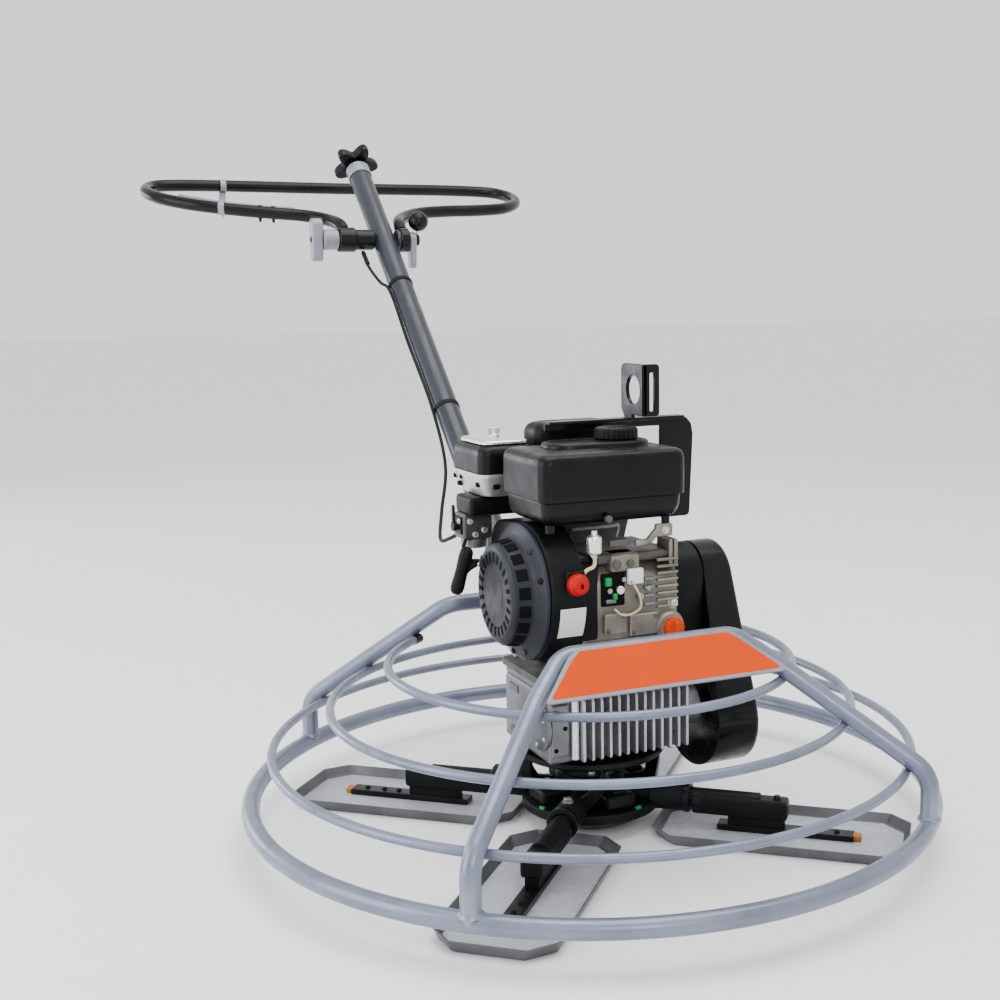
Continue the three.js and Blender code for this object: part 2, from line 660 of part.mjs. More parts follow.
function blowerHousing() {
  const centre = [CRANK.y, CRANK.z];
  const wall = 4;
  const outer = beltOutline(BLOWER.duct, BLOWER.ductRadius, centre, BLOWER.radius);
  const inner = beltOutline(BLOWER.duct, BLOWER.ductRadius - wall, centre, BLOWER.radius - wall);
  const shell = plateAcrossX(outer, BLOWER.x, 8);
  const hollow = plateAcrossX(inner, [BLOWER.x[0] + wall, BLOWER.x[1] + 1], 8);
  const intake = rod(crankAt(-120), crankAt(-100), 72, 24);
  const switchBoss = box([-90, -61], [-122.4, -112], [304, 340]);
  return join(cut(shell, hollow, intake), switchBoss);
}

function recoilCover() {
  const profile = [
    [0, 43], [60, 43], [67, 37], [70, 20], [93, 8], [96, 0], [91, 0], [66, 15], [60, 38], [0, 38],
  ];
  const cup = turned(profile, crankAt(-112.4), crankAt(-200), 22);
  const guide = rod(v(-138, CRANK.y + 46, CRANK.z + 34), v(-156, CRANK.y + 52, CRANK.z + 38), 9, 16);
  return join(cup, guide);
}
add("blower_housing", blowerHousing(), blackPaint);
add("recoil_cover", recoilCover(), blackPlastic);

// The starter's grip hangs on its rope just outside the cover's guide.
const PULL = v(-0.35, 0.8, 0.45).normalize();
const ROPE_END = v(-157, CRANK.y + 52.6, CRANK.z + 38.6);
const GRIP = ROPE_END.clone().add(v(-20, 8, -12));

function recoilGrip() {
  const cross = GRIP.clone();
  const bar = rod(cross.clone().add(v(2, -12, 31)), cross.clone().add(v(-8, 12, -35)), 10, 16);
  const neck = rod(cross, ROPE_END.clone().add(v(-12, 4, -7)), 6, 12);
  const rope = rod(ROPE_END.clone().add(v(-1, 0.3, -0.5)), cross, 2.5, 10);
  return join(bar, neck, rope);
}
add("recoil_grip", recoilGrip(), blackRubber);

const TANK = { x: [-118, 103], y: [-110, 40], z: [397, 495] };
const FILLER = { x: 42, y: -8 };

function fuelTank() {
  const round = 16;
  const level = (inset, z0, z1) => {
    const [x0, x1] = [TANK.x[0] + inset, TANK.x[1] - inset];
    const [y0, y1] = [TANK.y[0] + inset, TANK.y[1] - inset];
    const r = round - inset / 2;
    const shape = new THREE.Shape();
    shape.absarc(x1 - r, y1 - r, r, 0, Math.PI / 2, false);
    shape.absarc(x0 + r, y1 - r, r, Math.PI / 2, Math.PI, false);
    shape.absarc(x0 + r, y0 + r, r, Math.PI, 1.5 * Math.PI, false);
    shape.absarc(x1 - r, y0 + r, r, 1.5 * Math.PI, 2 * Math.PI, false);
    return plate(shape, z1 - z0, new THREE.Matrix4().makeTranslation(0, 0, z0), 3);
  };
  const neck = rod(v(FILLER.x, FILLER.y, 480), v(FILLER.x, FILLER.y, 502), 22);
  const levels = [[11, TANK.z[0], 407], [4, 406, 432], [0, 431, 490], [4, 489, TANK.z[1]]];
  return join(neck, ...levels.map(([inset, z0, z1]) => level(inset, z0, z1)));
}
add("fuel_tank", fuelTank(), blackPaint);
add(
  "tank_cap",
  turned(
    [[0, 502.4], [30, 502.4], [32, 506], [32, 515], [28, 519], [0, 519]],
    v(FILLER.x, FILLER.y, 0),
    v(FILLER.x, FILLER.y, 9),
  ),
  blackPlastic,
);

const CLEANER = { x: [-138, -48], y: [62, 186] };
add("air_cleaner_base", box(CLEANER.x, CLEANER.y, [418, 452]), zinc);
add(
  "air_cleaner_cover",
  join(box(CLEANER.x, CLEANER.y, [452.3, 486]), box([-130, -56], [70, 178], [485, 500])),
  blackPlastic,
);
add(
  "carburetor",
  join(box([-154, -100], [104, 149], [336, 392]), box([-148, -60], [84, 152], [388, 417.7])),
  castAluminium,
);
const CHOKE = v(-154.4, 122, 372);
const chokeHub = rod(CHOKE, CHOKE.clone().add(v(-7, 0, 0)), 7, 14);
const chokeArm = box([-161.4, -157.4], [118, 126], [372, 404]);
add("choke_lever", join(chokeHub, chokeArm), blackPlastic);
add("muffler", join(box([-40, 92], [78, 150], [440, 520]), box([-10, 16], [84, 112], [414, 442])), blackPaint);

const SWITCH = { x: -75, z: 322 };
add("ignition_switch", join(
  rod(v(SWITCH.x, -122.7, SWITCH.z), v(SWITCH.x, -134, SWITCH.z), 15),
  rod(v(SWITCH.x, -133, SWITCH.z), v(SWITCH.x, -140, SWITCH.z), 11),
), redPlastic);
add("oil_filler_cap", join(
  rod(v(OIL_X, -104.4, 243), v(OIL_X, -116, 243), 15, 18),
  box([OIL_X - 4, OIL_X + 4], [-124, -114], [232, 254]),
), orangePlastic);

// ---------------------------------------------------------------- belt drive
const wormAt = (x) => v(x, WORM.y, WORM.z);

function vPulley(at, radius, bore) {
  const groove = radius - 9;
  const [x0, x1] = BELT_X;
  const profile = [
    [bore, 0], [radius, 0], [radius, 4], [groove, 8], [groove, 14], [radius, 18], [radius, 22], [bore, 22],
    [bore, 0],
  ];
  return turned(profile, at(x0 - 4), at(x1), 24);
}

function driveBelt() {
  const run = (inset) => beltOutline(
    [CRANK.y, CRANK.z], CRANK_PULLEY - inset, [WORM.y, WORM.z], WORM_PULLEY - inset,
  );
  const outer = plateAcrossX(run(1), [BELT_X[0] + 5.2, BELT_X[1] - 5.2], 9);
  const inner = plateAcrossX(run(8), [BELT_X[0], BELT_X[1]], 9);
  return cut(outer, inner);
}

const clutchDrum = ring(11 + GAP, 40, crankAt(156), crankAt(172), 24);
add("clutch_pulley", join(clutchDrum, vPulley(crankAt, CRANK_PULLEY, 11 + GAP)), steel);
add("gearbox_pulley", vPulley(wormAt, WORM_PULLEY, 9 + GAP), steel);
add("drive_belt", driveBelt(), blackRubber);

// The guard wraps both pulleys. Its outer face leans in towards the top.
function beltGuard() {
  const wall = 3;
  const run = (inset) => beltOutline([CRANK.y, CRANK.z], 49 - inset, [-30, 97], 86 - inset);
  const leaning = (inset) => plateAcrossY(
    outline([[229 - inset, 0], [300, 0], [300, 400], [189 - inset, 400]]),
    [-200, 200],
  );
  const shell = cut(plateAcrossX(run(0), [150, 240], 8), leaning(0));
  const hollow = cut(plateAcrossX(run(wall), [150 + wall, 240], 8), leaning(wall));
  const shaftHoles = [rod(crankAt(140), crankAt(160), 42, 20), rod(wormAt(140), wormAt(160), 16, 24)];
  return cut(shell, hollow, ...shaftHoles);
}
add("belt_guard", beltGuard(), blackPaint);

// ---------------------------------------------------------------- lifting bracket
function liftingBracket() {
  const leg = plateAcrossY(
    outline([
      [142, 372], [192, 372], [198, 496], [195, 512], [187, 521], [175, 526], [-45, 526], [-45, 511], [142, 511],
    ]),
    [44, 50],
  );
  const strap = box([-45, 175], [28, 50], [521, 526]);
  const eyeShape = outline([[-10, 530], [28, 530], [28, 523], [50, 523], [62, 540], [62, 605], [-10, 605]]);
  eyeShape.holes.push(new THREE.Path().absarc(24, 567, 21, 0, 2 * Math.PI, false));
  const eye = plateAcrossX(eyeShape, [86, 92], 8);
  const flange = cut(box([86, 112], [-10, -4], [530, 605]), box([96, 104], [-20, 0], [536, 594]));
  return join(leg, strap, eye, flange);
}
add("lifting_bracket", liftingBracket(), blackPaint);

// ---------------------------------------------------------------- origin at the middle of the base
const extent = new THREE.Box3().setFromObject(machine);
machine.position.set(-(extent.min.x + extent.max.x) / 2, -(extent.min.y + extent.max.y) / 2, GUARD_HEIGHT);

const trowel = new THREE.Group();
trowel.add(machine);
export default trowel;
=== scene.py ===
import math
import random

import bmesh
import bpy
from mathutils import Matrix, Vector


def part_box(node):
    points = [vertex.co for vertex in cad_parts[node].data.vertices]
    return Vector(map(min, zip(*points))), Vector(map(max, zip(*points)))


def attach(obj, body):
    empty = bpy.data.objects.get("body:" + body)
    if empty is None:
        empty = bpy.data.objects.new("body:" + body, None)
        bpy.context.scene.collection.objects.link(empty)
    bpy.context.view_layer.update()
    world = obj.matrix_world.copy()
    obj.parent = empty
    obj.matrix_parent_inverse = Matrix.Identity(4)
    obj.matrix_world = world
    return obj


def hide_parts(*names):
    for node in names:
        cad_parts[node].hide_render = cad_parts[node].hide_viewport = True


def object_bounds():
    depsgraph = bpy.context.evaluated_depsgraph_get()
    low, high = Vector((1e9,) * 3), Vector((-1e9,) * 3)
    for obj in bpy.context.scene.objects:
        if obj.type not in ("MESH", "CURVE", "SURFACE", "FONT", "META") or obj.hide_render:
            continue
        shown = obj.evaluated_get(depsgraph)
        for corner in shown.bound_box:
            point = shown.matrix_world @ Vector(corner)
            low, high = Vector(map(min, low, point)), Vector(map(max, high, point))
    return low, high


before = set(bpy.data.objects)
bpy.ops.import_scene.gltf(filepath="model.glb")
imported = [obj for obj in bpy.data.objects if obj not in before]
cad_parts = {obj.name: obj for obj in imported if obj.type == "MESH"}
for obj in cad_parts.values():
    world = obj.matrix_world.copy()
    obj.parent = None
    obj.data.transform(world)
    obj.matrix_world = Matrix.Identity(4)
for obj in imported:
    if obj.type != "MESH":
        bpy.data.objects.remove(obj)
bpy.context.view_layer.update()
random.seed(36)

# ---- the machine's own frame
# Pieces are written in millimetres about the rotor axis, with heights from the middle of the guard
# ring: +x is the belt side, -y the front and +y the operator's side.
MM = 0.001
shift = Matrix.Translation
ring_low, ring_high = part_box("guard_ring")
ORIGIN = (ring_low + ring_high) / 2
TO_FRAME = shift(ORIGIN) @ Matrix.Scale(MM, 4)
TO_MACHINE = TO_FRAME.inverted()


def node_box(node):
    """A CAD node's lowest and highest corners in machine millimetres."""
    return tuple(TO_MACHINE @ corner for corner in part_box(node))


V = Vector
X, Y, Z = V((1, 0, 0)), V((0, 1, 0)), V((0, 0, 1))
YZ_TO_X = Matrix(((0, 0, 1, 0), (1, 0, 0, 0), (0, 1, 0, 0), (0, 0, 0, 1)))
XZ_TO_FRONT = Matrix(((1, 0, 0, 0), (0, 0, -1, 0), (0, 1, 0, 0), (0, 0, 0, 1)))


def about_z(degrees):
    return Matrix.Rotation(math.radians(degrees), 4, "Z")


# ---- materials
def linear(hex_colour):
    """A hex colour as linear RGBA."""
    channels = [int(hex_colour[i:i + 2], 16) / 255 for i in (0, 2, 4)]
    return [c / 12.92 if c <= 0.04045 else ((c + 0.055) / 1.055) ** 2.4 for c in channels] + [1]


# noise scales a metre, and the pointiness at which an edge starts and ends to be worn
BLOTCHES, SCRATCHES, SMEARS = 14, 60, 35
WORN_FROM, WORN_TO = 0.53, 0.6
RELIEF_DEPTH = 0.001
COAT_ROUGHNESS = 0.12
LEAST_ROUGHNESS = 0.05


def surface(name, colour, rough=0.4, metal=0.0, coat=0.0, grain=400, bump=0.05, stain=0.12, streak=None,
            wear=0.0, wear_colour="9a9a98", rough_spread=0.12, spec=0.5):
    """A finish with grain in its bump, blotches in its colour and roughness, and edges that can be worn."""
    material = bpy.data.materials.new(name)
    material.use_nodes = True
    tree = material.node_tree
    nodes, link = tree.nodes, tree.links.new
    shader = nodes["Principled BSDF"]
    shader.inputs["Metallic"].default_value = metal
    shader.inputs["Coat Weight"].default_value = coat
    shader.inputs["Specular IOR Level"].default_value = spec
    shader.inputs["Coat Roughness"].default_value = COAT_ROUGHNESS
    place = nodes.new("ShaderNodeTexCoord").outputs["Object"]

    def noise(scale, detail=4.0, stretch=None):
        source = place
        if stretch:
            mapping = nodes.new("ShaderNodeMapping")
            mapping.inputs["Scale"].default_value = stretch
            link(place, mapping.inputs["Vector"])
            source = mapping.outputs["Vector"]
        node = nodes.new("ShaderNodeTexNoise")
        node.inputs["Scale"].default_value = scale
        node.inputs["Detail"].default_value = detail
        link(source, node.inputs["Vector"])
        return node.outputs["Fac"]

    def mix(factor, a, b):
        node = nodes.new("ShaderNodeMix")
        node.data_type = "RGBA"
        for socket, value in ((node.inputs[0], factor), (node.inputs[6], a), (node.inputs[7], b)):
            if isinstance(value, bpy.types.NodeSocket):
                link(value, socket)
            else:
                socket.default_value = value
        return node.outputs[2]

    def remap(value, low, high, to_low=0.0, to_high=1.0):
        node = nodes.new("ShaderNodeMapRange")
        for i, number in enumerate((low, high, to_low, to_high), start=1):
            node.inputs[i].default_value = number
        link(value, node.inputs[0])
        return node.outputs[0]

    base = linear(colour)
    dark = [c * (1 - stain * 2.2) for c in base[:3]] + [1]
    light = [min(1, c * (1 + stain) + stain * 0.02) for c in base[:3]] + [1]
    painted = mix(remap(noise(BLOTCHES, 6), 0.35, 0.65), dark, light)
    if streak:
        scratches = remap(noise(SCRATCHES, 3, streak), 0.4, 0.62)
        painted = mix(scratches, painted, [min(1, c * 1.35 + 0.02) for c in base[:3]] + [1])
    if wear:
        pointed = nodes.new("ShaderNodeNewGeometry").outputs["Pointiness"]
        painted = mix(remap(pointed, WORN_FROM, WORN_TO, 0.0, wear), painted, linear(wear_colour))
    link(painted, shader.inputs["Base Color"])
    rough_low, rough_high = max(LEAST_ROUGHNESS, rough - rough_spread), min(1, rough + rough_spread)
    link(remap(noise(SMEARS, 5), 0.3, 0.7, rough_low, rough_high), shader.inputs["Roughness"])
    relief = nodes.new("ShaderNodeBump")
    relief.inputs["Strength"].default_value = bump
    relief.inputs["Distance"].default_value = RELIEF_DEPTH
    link(noise(grain, 3, streak), relief.inputs["Height"])
    link(relief.outputs["Normal"], shader.inputs["Normal"])
    return material


SILVER = surface("silver_paint", "71778a", 0.34, 0.4, 0.2, grain=700, bump=0.06, stain=0.08, wear=0.25,
                 wear_colour="c9ccd2")
ORANGE = surface("orange_paint", "c94000", 0.6, grain=600, bump=0.04, stain=0.012, spec=0.08)
EDGING = surface("plate_edging", "83858d", 0.42, 0.3, 0.1, grain=500, stain=0.08)
GREY = surface("handle_grey", "22242b", 0.36, 0.1, 0.12, grain=650, bump=0.07, stain=0.07, wear=0.12,
               wear_colour="5a5f6e", spec=0.32)
GLOSS = surface("black_gloss", "07080a", 0.26, 0.0, 0.05, grain=500, bump=0.04, stain=0.1, wear=0.1,
                wear_colour="26282e", spec=0.16)
SATIN = surface("black_satin", "08090a", 0.44, grain=900, bump=0.12, wear=0.14, wear_colour="303238",
                spec=0.13)
MOULDED = surface("tank_black", "070809", 0.34, 0.0, 0.02, grain=1100, bump=0.08, stain=0.06, spec=0.16)
SLATE = surface("cover_grey", "10131c", 0.46, grain=1000, bump=0.14, stain=0.08, wear=0.2,
                wear_colour="5a5f76", spec=0.26)
CAST = surface("cast_aluminium", "686a70", 0.42, 0.75, grain=420, bump=0.35, stain=0.2, wear=0.3,
               wear_colour="e2e2e0")
DARK_CAST = surface("cast_aluminium_dark", "4a4843", 0.52, 0.6, grain=380, bump=0.4, stain=0.22, wear=0.25,
                    wear_colour="a8a49a")
WARM_CAST = surface("cast_aluminium_warm", "7a766b", 0.45, 0.6, grain=360, bump=0.45, stain=0.26, wear=0.35,
                    wear_colour="d2cdc0")
# cast metal much lighter than the housing, for the fins: painted highlight along the fin edges
FIN_HIGHLIGHT_METAL = surface("fin_edges_highlight", "b9bac0", 0.36, 0.7, grain=420, bump=0.25, wear=0.3, wear_colour="eeeeee")
MACHINED = surface("machined_face", "dadade", 0.28, 0.85, grain=300, bump=0.1, stain=0.05, streak=(1, 30, 1))
STEEL = surface("bare_steel", "8b8a88", 0.36, 0.8, grain=160, bump=0.18, stain=0.14, streak=(40, 2, 2))
BLADE_STEEL = surface("blade_steel", "a3a5ab", 0.46, 0.2, grain=120, bump=0.2, stain=0.08, streak=(2, 26, 2))
# the blade's rim in a darker steel than its floor: painted shade on the lip's inner face, with worn edges
SHADED_BLADE_LIP = surface("blade_lip", "5b5c60", 0.46, 0.4, grain=200, bump=0.2, stain=0.15, wear=0.3,
                    wear_colour="8c8d92")
ZINC = surface("zinc_plate", "c2c2c2", 0.34, 0.7, grain=420, bump=0.2, stain=0.1, wear=0.2,
               wear_colour="e8e8e6")
RUBBER = surface("black_rubber", "0c0c0d", 0.7, grain=800, bump=0.25, spec=0.2)
RED = surface("red_plastic", "b00004", 0.4, grain=600, bump=0.02, stain=0.02, spec=0.15)
CAP_ORANGE = surface("orange_plastic", "d03c00", 0.5, grain=700, stain=0.03, spec=0.15)
END_PLUG = surface("end_plug", "b06c14", 0.55, 0.1, grain=500, bump=0.15, stain=0.15)
HOSE_TAN = surface("tan_hose", "d8c295", 0.45, 0.0, 0.05, grain=500, stain=0.06)
GREEN = surface("green_tag", "0d8a45", 0.45, grain=500, stain=0.08, spec=0.2)
LABEL = surface("plain_label", "dcdce0", 0.4, 0.0, 0.1, grain=300, bump=0.02, stain=0.015)
# near-black discs and sheets laid on in place of openings: painted shade inside holes, slots and recesses
PAINTED_HOLE_SHADE = surface("shadow_hole", "050506", 0.8, grain=300, stain=0.1, spec=0.1)


# ---- mesh building
def fill_between(bm, lower, upper, closed=True):
    """Quads between two rows of vertices of the same length."""
    count = len(lower)
    for i in range(count if closed else count - 1):
        j = (i + 1) % count
        bm.faces.new((lower[i], lower[j], upper[j], upper[i]))


def loft(sections, caps=True):
    """A skin through closed sections, each a list of the same number of points."""
    bm = bmesh.new()
    rows = [[bm.verts.new(p) for p in section] for section in sections]
    for lower, upper in zip(rows, rows[1:]):
        fill_between(bm, lower, upper)
    if caps:
        bm.faces.new(list(reversed(rows[0])))
        bm.faces.new(rows[-1])
    bmesh.ops.recalc_face_normals(bm, faces=bm.faces)
    return bm


def line_frame(start, end):
    """A matrix that takes local +z to the line from start towards end."""
    direction = (V(end) - V(start)).normalized()
    turn = Z.rotation_difference(direction).to_matrix().to_4x4()
    return shift(start) @ turn


def circle(radius, height, sides, turn=0.0):
    step = 2 * math.pi / sides
    return [V((radius * math.cos(turn + i * step), radius * math.sin(turn + i * step), height))
            for i in range(sides)]


def lathe(profile, start, end, sides=40, turn=0.0):
    """A turned solid: pairs of radius and height along the line from start towards end."""
    matrix = line_frame(start, end)
    sections = [[matrix @ p for p in circle(max(r, 0.02), h, sides, turn)] for r, h in profile]
    return loft(sections)


def eased(profile, radius=1.2):
    """A profile whose inner corners are cut back, so that a turned edge catches the light."""
    eased_profile = [profile[0]]
    for before, corner, after in zip(profile, profile[1:], profile[2:]):
        a, b, c = V(before), V(corner), V(after)
        cut = min(radius, (a - b).length / 2.5, (c - b).length / 2.5)
        for step in (a - b, c - b):
            eased_profile.append(tuple(b + step.normalized() * cut) if step.length > 1e-6 else corner)
    return eased_profile + [profile[-1]]


def rod(start, end, radius, sides=24, edge=0.8):
    length = (V(end) - V(start)).length
    edge = min(edge, radius / 3, length / 3)
    profile = [(radius - edge, 0), (radius, edge), (radius, length - edge), (radius - edge, length)]
    return lathe(profile, start, end, sides)


def sleeve(start, end, radius, bore, sides=40, edge=0.8):
    """A tube with an open bore."""
    length = (V(end) - V(start)).length
    matrix = line_frame(start, end)
    profile = [(bore, edge), (bore + edge, 0), (radius - edge, 0), (radius, edge), (radius, length - edge),
               (radius - edge, length), (bore + edge, length), (bore, length - edge), (bore, edge)]
    bm = loft([[matrix @ p for p in circle(r, h, sides)] for r, h in profile], caps=False)
    bmesh.ops.remove_doubles(bm, verts=bm.verts, dist=1e-4)
    return bm


def sweep(path, radius, sides=20, closed=False):
    """A round bar along a list of points. Its section turns as little as it can."""
    points = [V(p) for p in path]
    count = len(points)
    tangents = []
    for i in range(count):
        before = points[i - 1] if closed or i else points[i]
        after = points[(i + 1) % count] if closed or i < count - 1 else points[i]
        tangents.append((after - before).normalized())
    side = tangents[0].orthogonal().normalized()
    sections = []
    for point, tangent in zip(points, tangents):
        side = (side - tangent * side.dot(tangent)).normalized()
        other = tangent.cross(side)
        sections.append([point + side * (radius * p.x) + other * (radius * p.y) for p in circle(1, 0, sides)])
    if closed:
        first, last = sections[0], sections[-1]
        shift = min(range(sides), key=lambda k: (first[k] - last[0]).length)
        sections.append(first[shift:] + first[:shift])
    bm = loft(sections, caps=not closed)
    if closed:
        bmesh.ops.remove_doubles(bm, verts=bm.verts, dist=1e-4)
    return bm


STRAIGHT_STEP = 56


def bent(corners, radii, steps=8):
    """Points along straights joined by round bends."""
    corners = [V(c) for c in corners]
    path = [corners[0]]
    for (before, corner, after), radius in zip(zip(corners, corners[1:], corners[2:]), radii):
        arriving, leaving = (corner - before).normalized(), (after - corner).normalized()
        turn = arriving.angle(leaving)
        if turn < 1e-3:
            continue
        side = (leaving - arriving * leaving.dot(arriving)).normalized()
        start = corner - arriving * (radius * math.tan(turn / 2))
        for i in range(steps + 1):
            angle = turn * i / steps
            ahead, aside = radius * math.sin(angle), radius * (1 - math.cos(angle))
            path.append(start + arriving * ahead + side * aside)
    path.append(corners[-1])
    even = [path[0]]
    for a, b in zip(path, path[1:]):
        pieces = max(1, round((b - a).length / STRAIGHT_STEP))
        even += [a.lerp(b, (i + 1) / pieces) for i in range(pieces)]
    return even


def spline(points, per_span=8):
    """A smooth curve through points, as a centripetal Catmull-Rom spline."""
    pts = [V(p) for p in points]
    pts = [pts[0] * 2 - pts[1]] + pts + [pts[-1] * 2 - pts[-2]]
    curve = []
    for p0, p1, p2, p3 in zip(pts, pts[1:], pts[2:], pts[3:]):
        t0, knots = 0.0, [0.0]
        for a, b in ((p0, p1), (p1, p2), (p2, p3)):
            t0 += (b - a).length ** 0.5
            knots.append(t0)
        k0, k1, k2, k3 = knots
        for i in range(per_span):
            t = k1 + (k2 - k1) * i / per_span
            a1 = p0.lerp(p1, (t - k0) / (k1 - k0))
            a2 = p1.lerp(p2, (t - k1) / (k2 - k1))
            a3 = p2.lerp(p3, (t - k2) / (k3 - k2))
            b1 = a1.lerp(a2, (t - k0) / (k2 - k0))
            b2 = a2.lerp(a3, (t - k1) / (k3 - k1))
            curve.append(b1.lerp(b2, (t - k1) / (k2 - k1)))
    return curve + [pts[-2]]


def block(low, high, edge=1.5, segments=3):
    """A box with rounded edges."""
    low, high = V(low), V(high)
    bm = bmesh.new()
    bmesh.ops.create_cube(bm, size=1)
    size = high - low
    bmesh.ops.scale(bm, vec=size, verts=bm.verts)
    bmesh.ops.translate(bm, vec=(low + high) / 2, verts=bm.verts)
    edge = min(edge, *(s / 2.5 for s in size))
    bmesh.ops.bevel(bm, geom=bm.edges[:], offset=edge, segments=segments, profile=0.5, affect="EDGES")
    return bm


def arc(centre, radius, first, last, steps=8):
    """Points of an arc in the plane, by angles in degrees."""
    angles = [math.radians(first + (last - first) * i / steps) for i in range(steps + 1)]
    return [(centre[0] + radius * math.cos(a), centre[1] + radius * math.sin(a)) for a in angles]


def around(centre, radius, count, first=0.0):
    """Points spread evenly round a circle in the plane, from an angle in degrees."""
    angles = [math.radians(first + 360 * i / count) for i in range(count)]
    return [(centre[0] + radius * math.cos(a), centre[1] + radius * math.sin(a)) for a in angles]


def ribbed(centre, radius, rib, count):
    """A circle in the plane with square ribs, four points to each."""
    spread = [radius + (rib if i % 4 < 2 else -rib) for i in range(count)]
    return [(centre[0] + r * a, centre[1] + r * b) for r, (a, b) in zip(spread, around((0, 0), 1, count))]


def rounded(points, radius, steps=4):
    """A polygon whose corners are rounded; radius is one number or one for each corner."""
    radii = radius if isinstance(radius, (list, tuple)) else [radius] * len(points)
    outline = []
    for i, corner in enumerate(points):
        a, b, c = V(points[i - 1]), V(corner), V(points[(i + 1) % len(points)])
        back, on = (a - b).normalized(), (c - b).normalized()
        half = back.angle(on) / 2
        reach = min(radii[i] / max(math.tan(half), 1e-3), *(0.48 * (end - b).length for end in (a, c)))
        start, end = b + back * reach, b + on * reach
        for k in range(steps + 1):
            t = k / steps
            outline.append(tuple(start * (1 - t) ** 2 + b * (2 * t * (1 - t)) + end * t ** 2))
    return outline


def belt_outline(first, r_first, second, r_second, steps=16):
    """The outline of a belt round two circles, the first above the second."""
    a, b = V(first), V(second)
    line = math.degrees(math.atan2(b.y - a.y, b.x - a.x)) + 180
    lean = math.degrees(math.acos((r_second - r_first) / (a - b).length))
    return (arc(first, r_first, line - lean, line + lean, steps)
            + arc(second, r_second, line + lean, line - lean + 360, steps))


def slab(outline, depth, matrix, edge=1.0, holes=(), steps=2):
    """A plate cut to an outline, with holes and rounded edges. Local z runs from 0 to depth."""
    curve = bpy.data.curves.new("slab", "CURVE")
    curve.dimensions = "2D"
    curve.fill_mode = "BOTH"
    edge = min(edge, depth / 2.2)
    curve.extrude = depth / 2 - edge
    curve.bevel_depth = edge
    curve.bevel_resolution = steps
    curve.offset = -edge
    for loop in (outline, *holes):
        strip = curve.splines.new("POLY")
        strip.points.add(len(loop) - 1)
        for point, (a, b) in zip(strip.points, loop):
            point.co = (a, b, 0, 1)
        strip.use_cyclic_u = True
    holder = bpy.data.objects.new("slab", curve)
    bpy.context.scene.collection.objects.link(holder)
    bpy.context.view_layer.update()
    mesh = bpy.data.meshes.new_from_object(holder.evaluated_get(bpy.context.evaluated_depsgraph_get()))
    bpy.data.objects.remove(holder)
    bpy.data.curves.remove(curve)
    bm = bmesh.new()
    bm.from_mesh(mesh)
    bpy.data.meshes.remove(mesh)
    bmesh.ops.remove_doubles(bm, verts=bm.verts, dist=1e-3)
    bmesh.ops.translate(bm, vec=(0, 0, depth / 2), verts=bm.verts)
    bm.transform(matrix)
    return bm


def at_x(x):
    return shift((x, 0, 0)) @ YZ_TO_X


def facing_front(y):
    """Local x and y become x and z, and local z runs towards the front from y."""
    return shift((0, y, 0)) @ XZ_TO_FRONT


def flat_plate(low, high, radius, edge):
    """A level plate between two corners, rounded in plan."""
    outline = [(low[0], low[1]), (high[0], low[1]), (high[0], high[1]), (low[0], high[1])]
    return slab(rounded(outline, radius), high[2] - low[2], shift((0, 0, low[2])), edge)


def round_rect(x, y, inset, radius, z, steps=8):
    x0, x1, y0, y1 = x[0] + inset, x[1] - inset, y[0] + inset, y[1] - inset
    r = max(radius, 2)
    outline = (arc((x1 - r, y1 - r), r, 0, 90, steps) + arc((x0 + r, y1 - r), r, 90, 180, steps)
               + arc((x0 + r, y0 + r), r, 180, 270, steps) + arc((x1 - r, y0 + r), r, 270, 360, steps))
    return [V((*p, z)) for p in outline]


def moulding(x, y, steps, radius, easing=0.0):
    """A moulded shell with a round-cornered plan; steps pair each height with how far the sides come in."""
    return loft([round_rect(x, y, inset, radius - inset * easing, z) for z, inset in steps])


pieces = []
SHARP = math.radians(38)


class Piece:
    """One mesh object joined from parts, each with its own material."""

    def __init__(self, name, body, slot, *stands_for):
        self.name, self.body, self.slot, self.stands_for = name, body, slot, stands_for
        self.bm = bmesh.new()
        self.materials = []
        pieces.append(self)

    def add(self, part, material, turn=None):
        if material not in self.materials:
            self.materials.append(material)
        if turn is not None:
            part.transform(turn)
        mesh = bpy.data.meshes.new("part")
        part.to_mesh(mesh)
        part.free()
        first = len(self.bm.faces)
        self.bm.from_mesh(mesh)
        bpy.data.meshes.remove(mesh)
        self.bm.faces.ensure_lookup_table()
        for face in self.bm.faces[first:]:
            face.material_index = self.materials.index(material)
            face.smooth = True

    def each(self, shape, material, *rows, turn=None):
        """The same kind of part several times, each row holding one part's measures."""
        for row in rows:
            self.add(shape(*row), material, turn)

    def bolt(self, at, out, size=6.0, head=4.0, material=None):
        """A hex bolt on a washer, standing on a face."""
        material = material or ZINC
        at, out = V(at), V(out).normalized()
        self.add(lathe([(size * 1.25, 0), (size * 1.35, 0.3), (size * 1.35, 1.1), (size * 1.2, 1.5)],
                       at, at + out, 20), material)
        top = at + out * 1.3
        self.add(lathe([(size, 0), (size, head - 0.8), (size * 0.86, head), (size * 0.3, head + 0.1)],
                       top, top + out, 6, random.uniform(0, 1)), material)

    def build(self):
        mesh = bpy.data.meshes.new(self.name)
        self.bm.transform(TO_FRAME)
        bmesh.ops.recalc_face_normals(self.bm, faces=self.bm.faces)
        self.bm.to_mesh(mesh)
        self.bm.free()
        for material in self.materials:
            mesh.materials.append(material)
        mesh.set_sharp_from_angle(angle=SHARP)
        obj = bpy.data.objects.new(self.name, mesh)
        bpy.context.scene.collection.objects.link(obj)
        normals = obj.modifiers.new("normals", "WEIGHTED_NORMAL")
        normals.keep_sharp = True
        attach(obj, self.body)
        if self.stands_for:
            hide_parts(*self.stands_for)


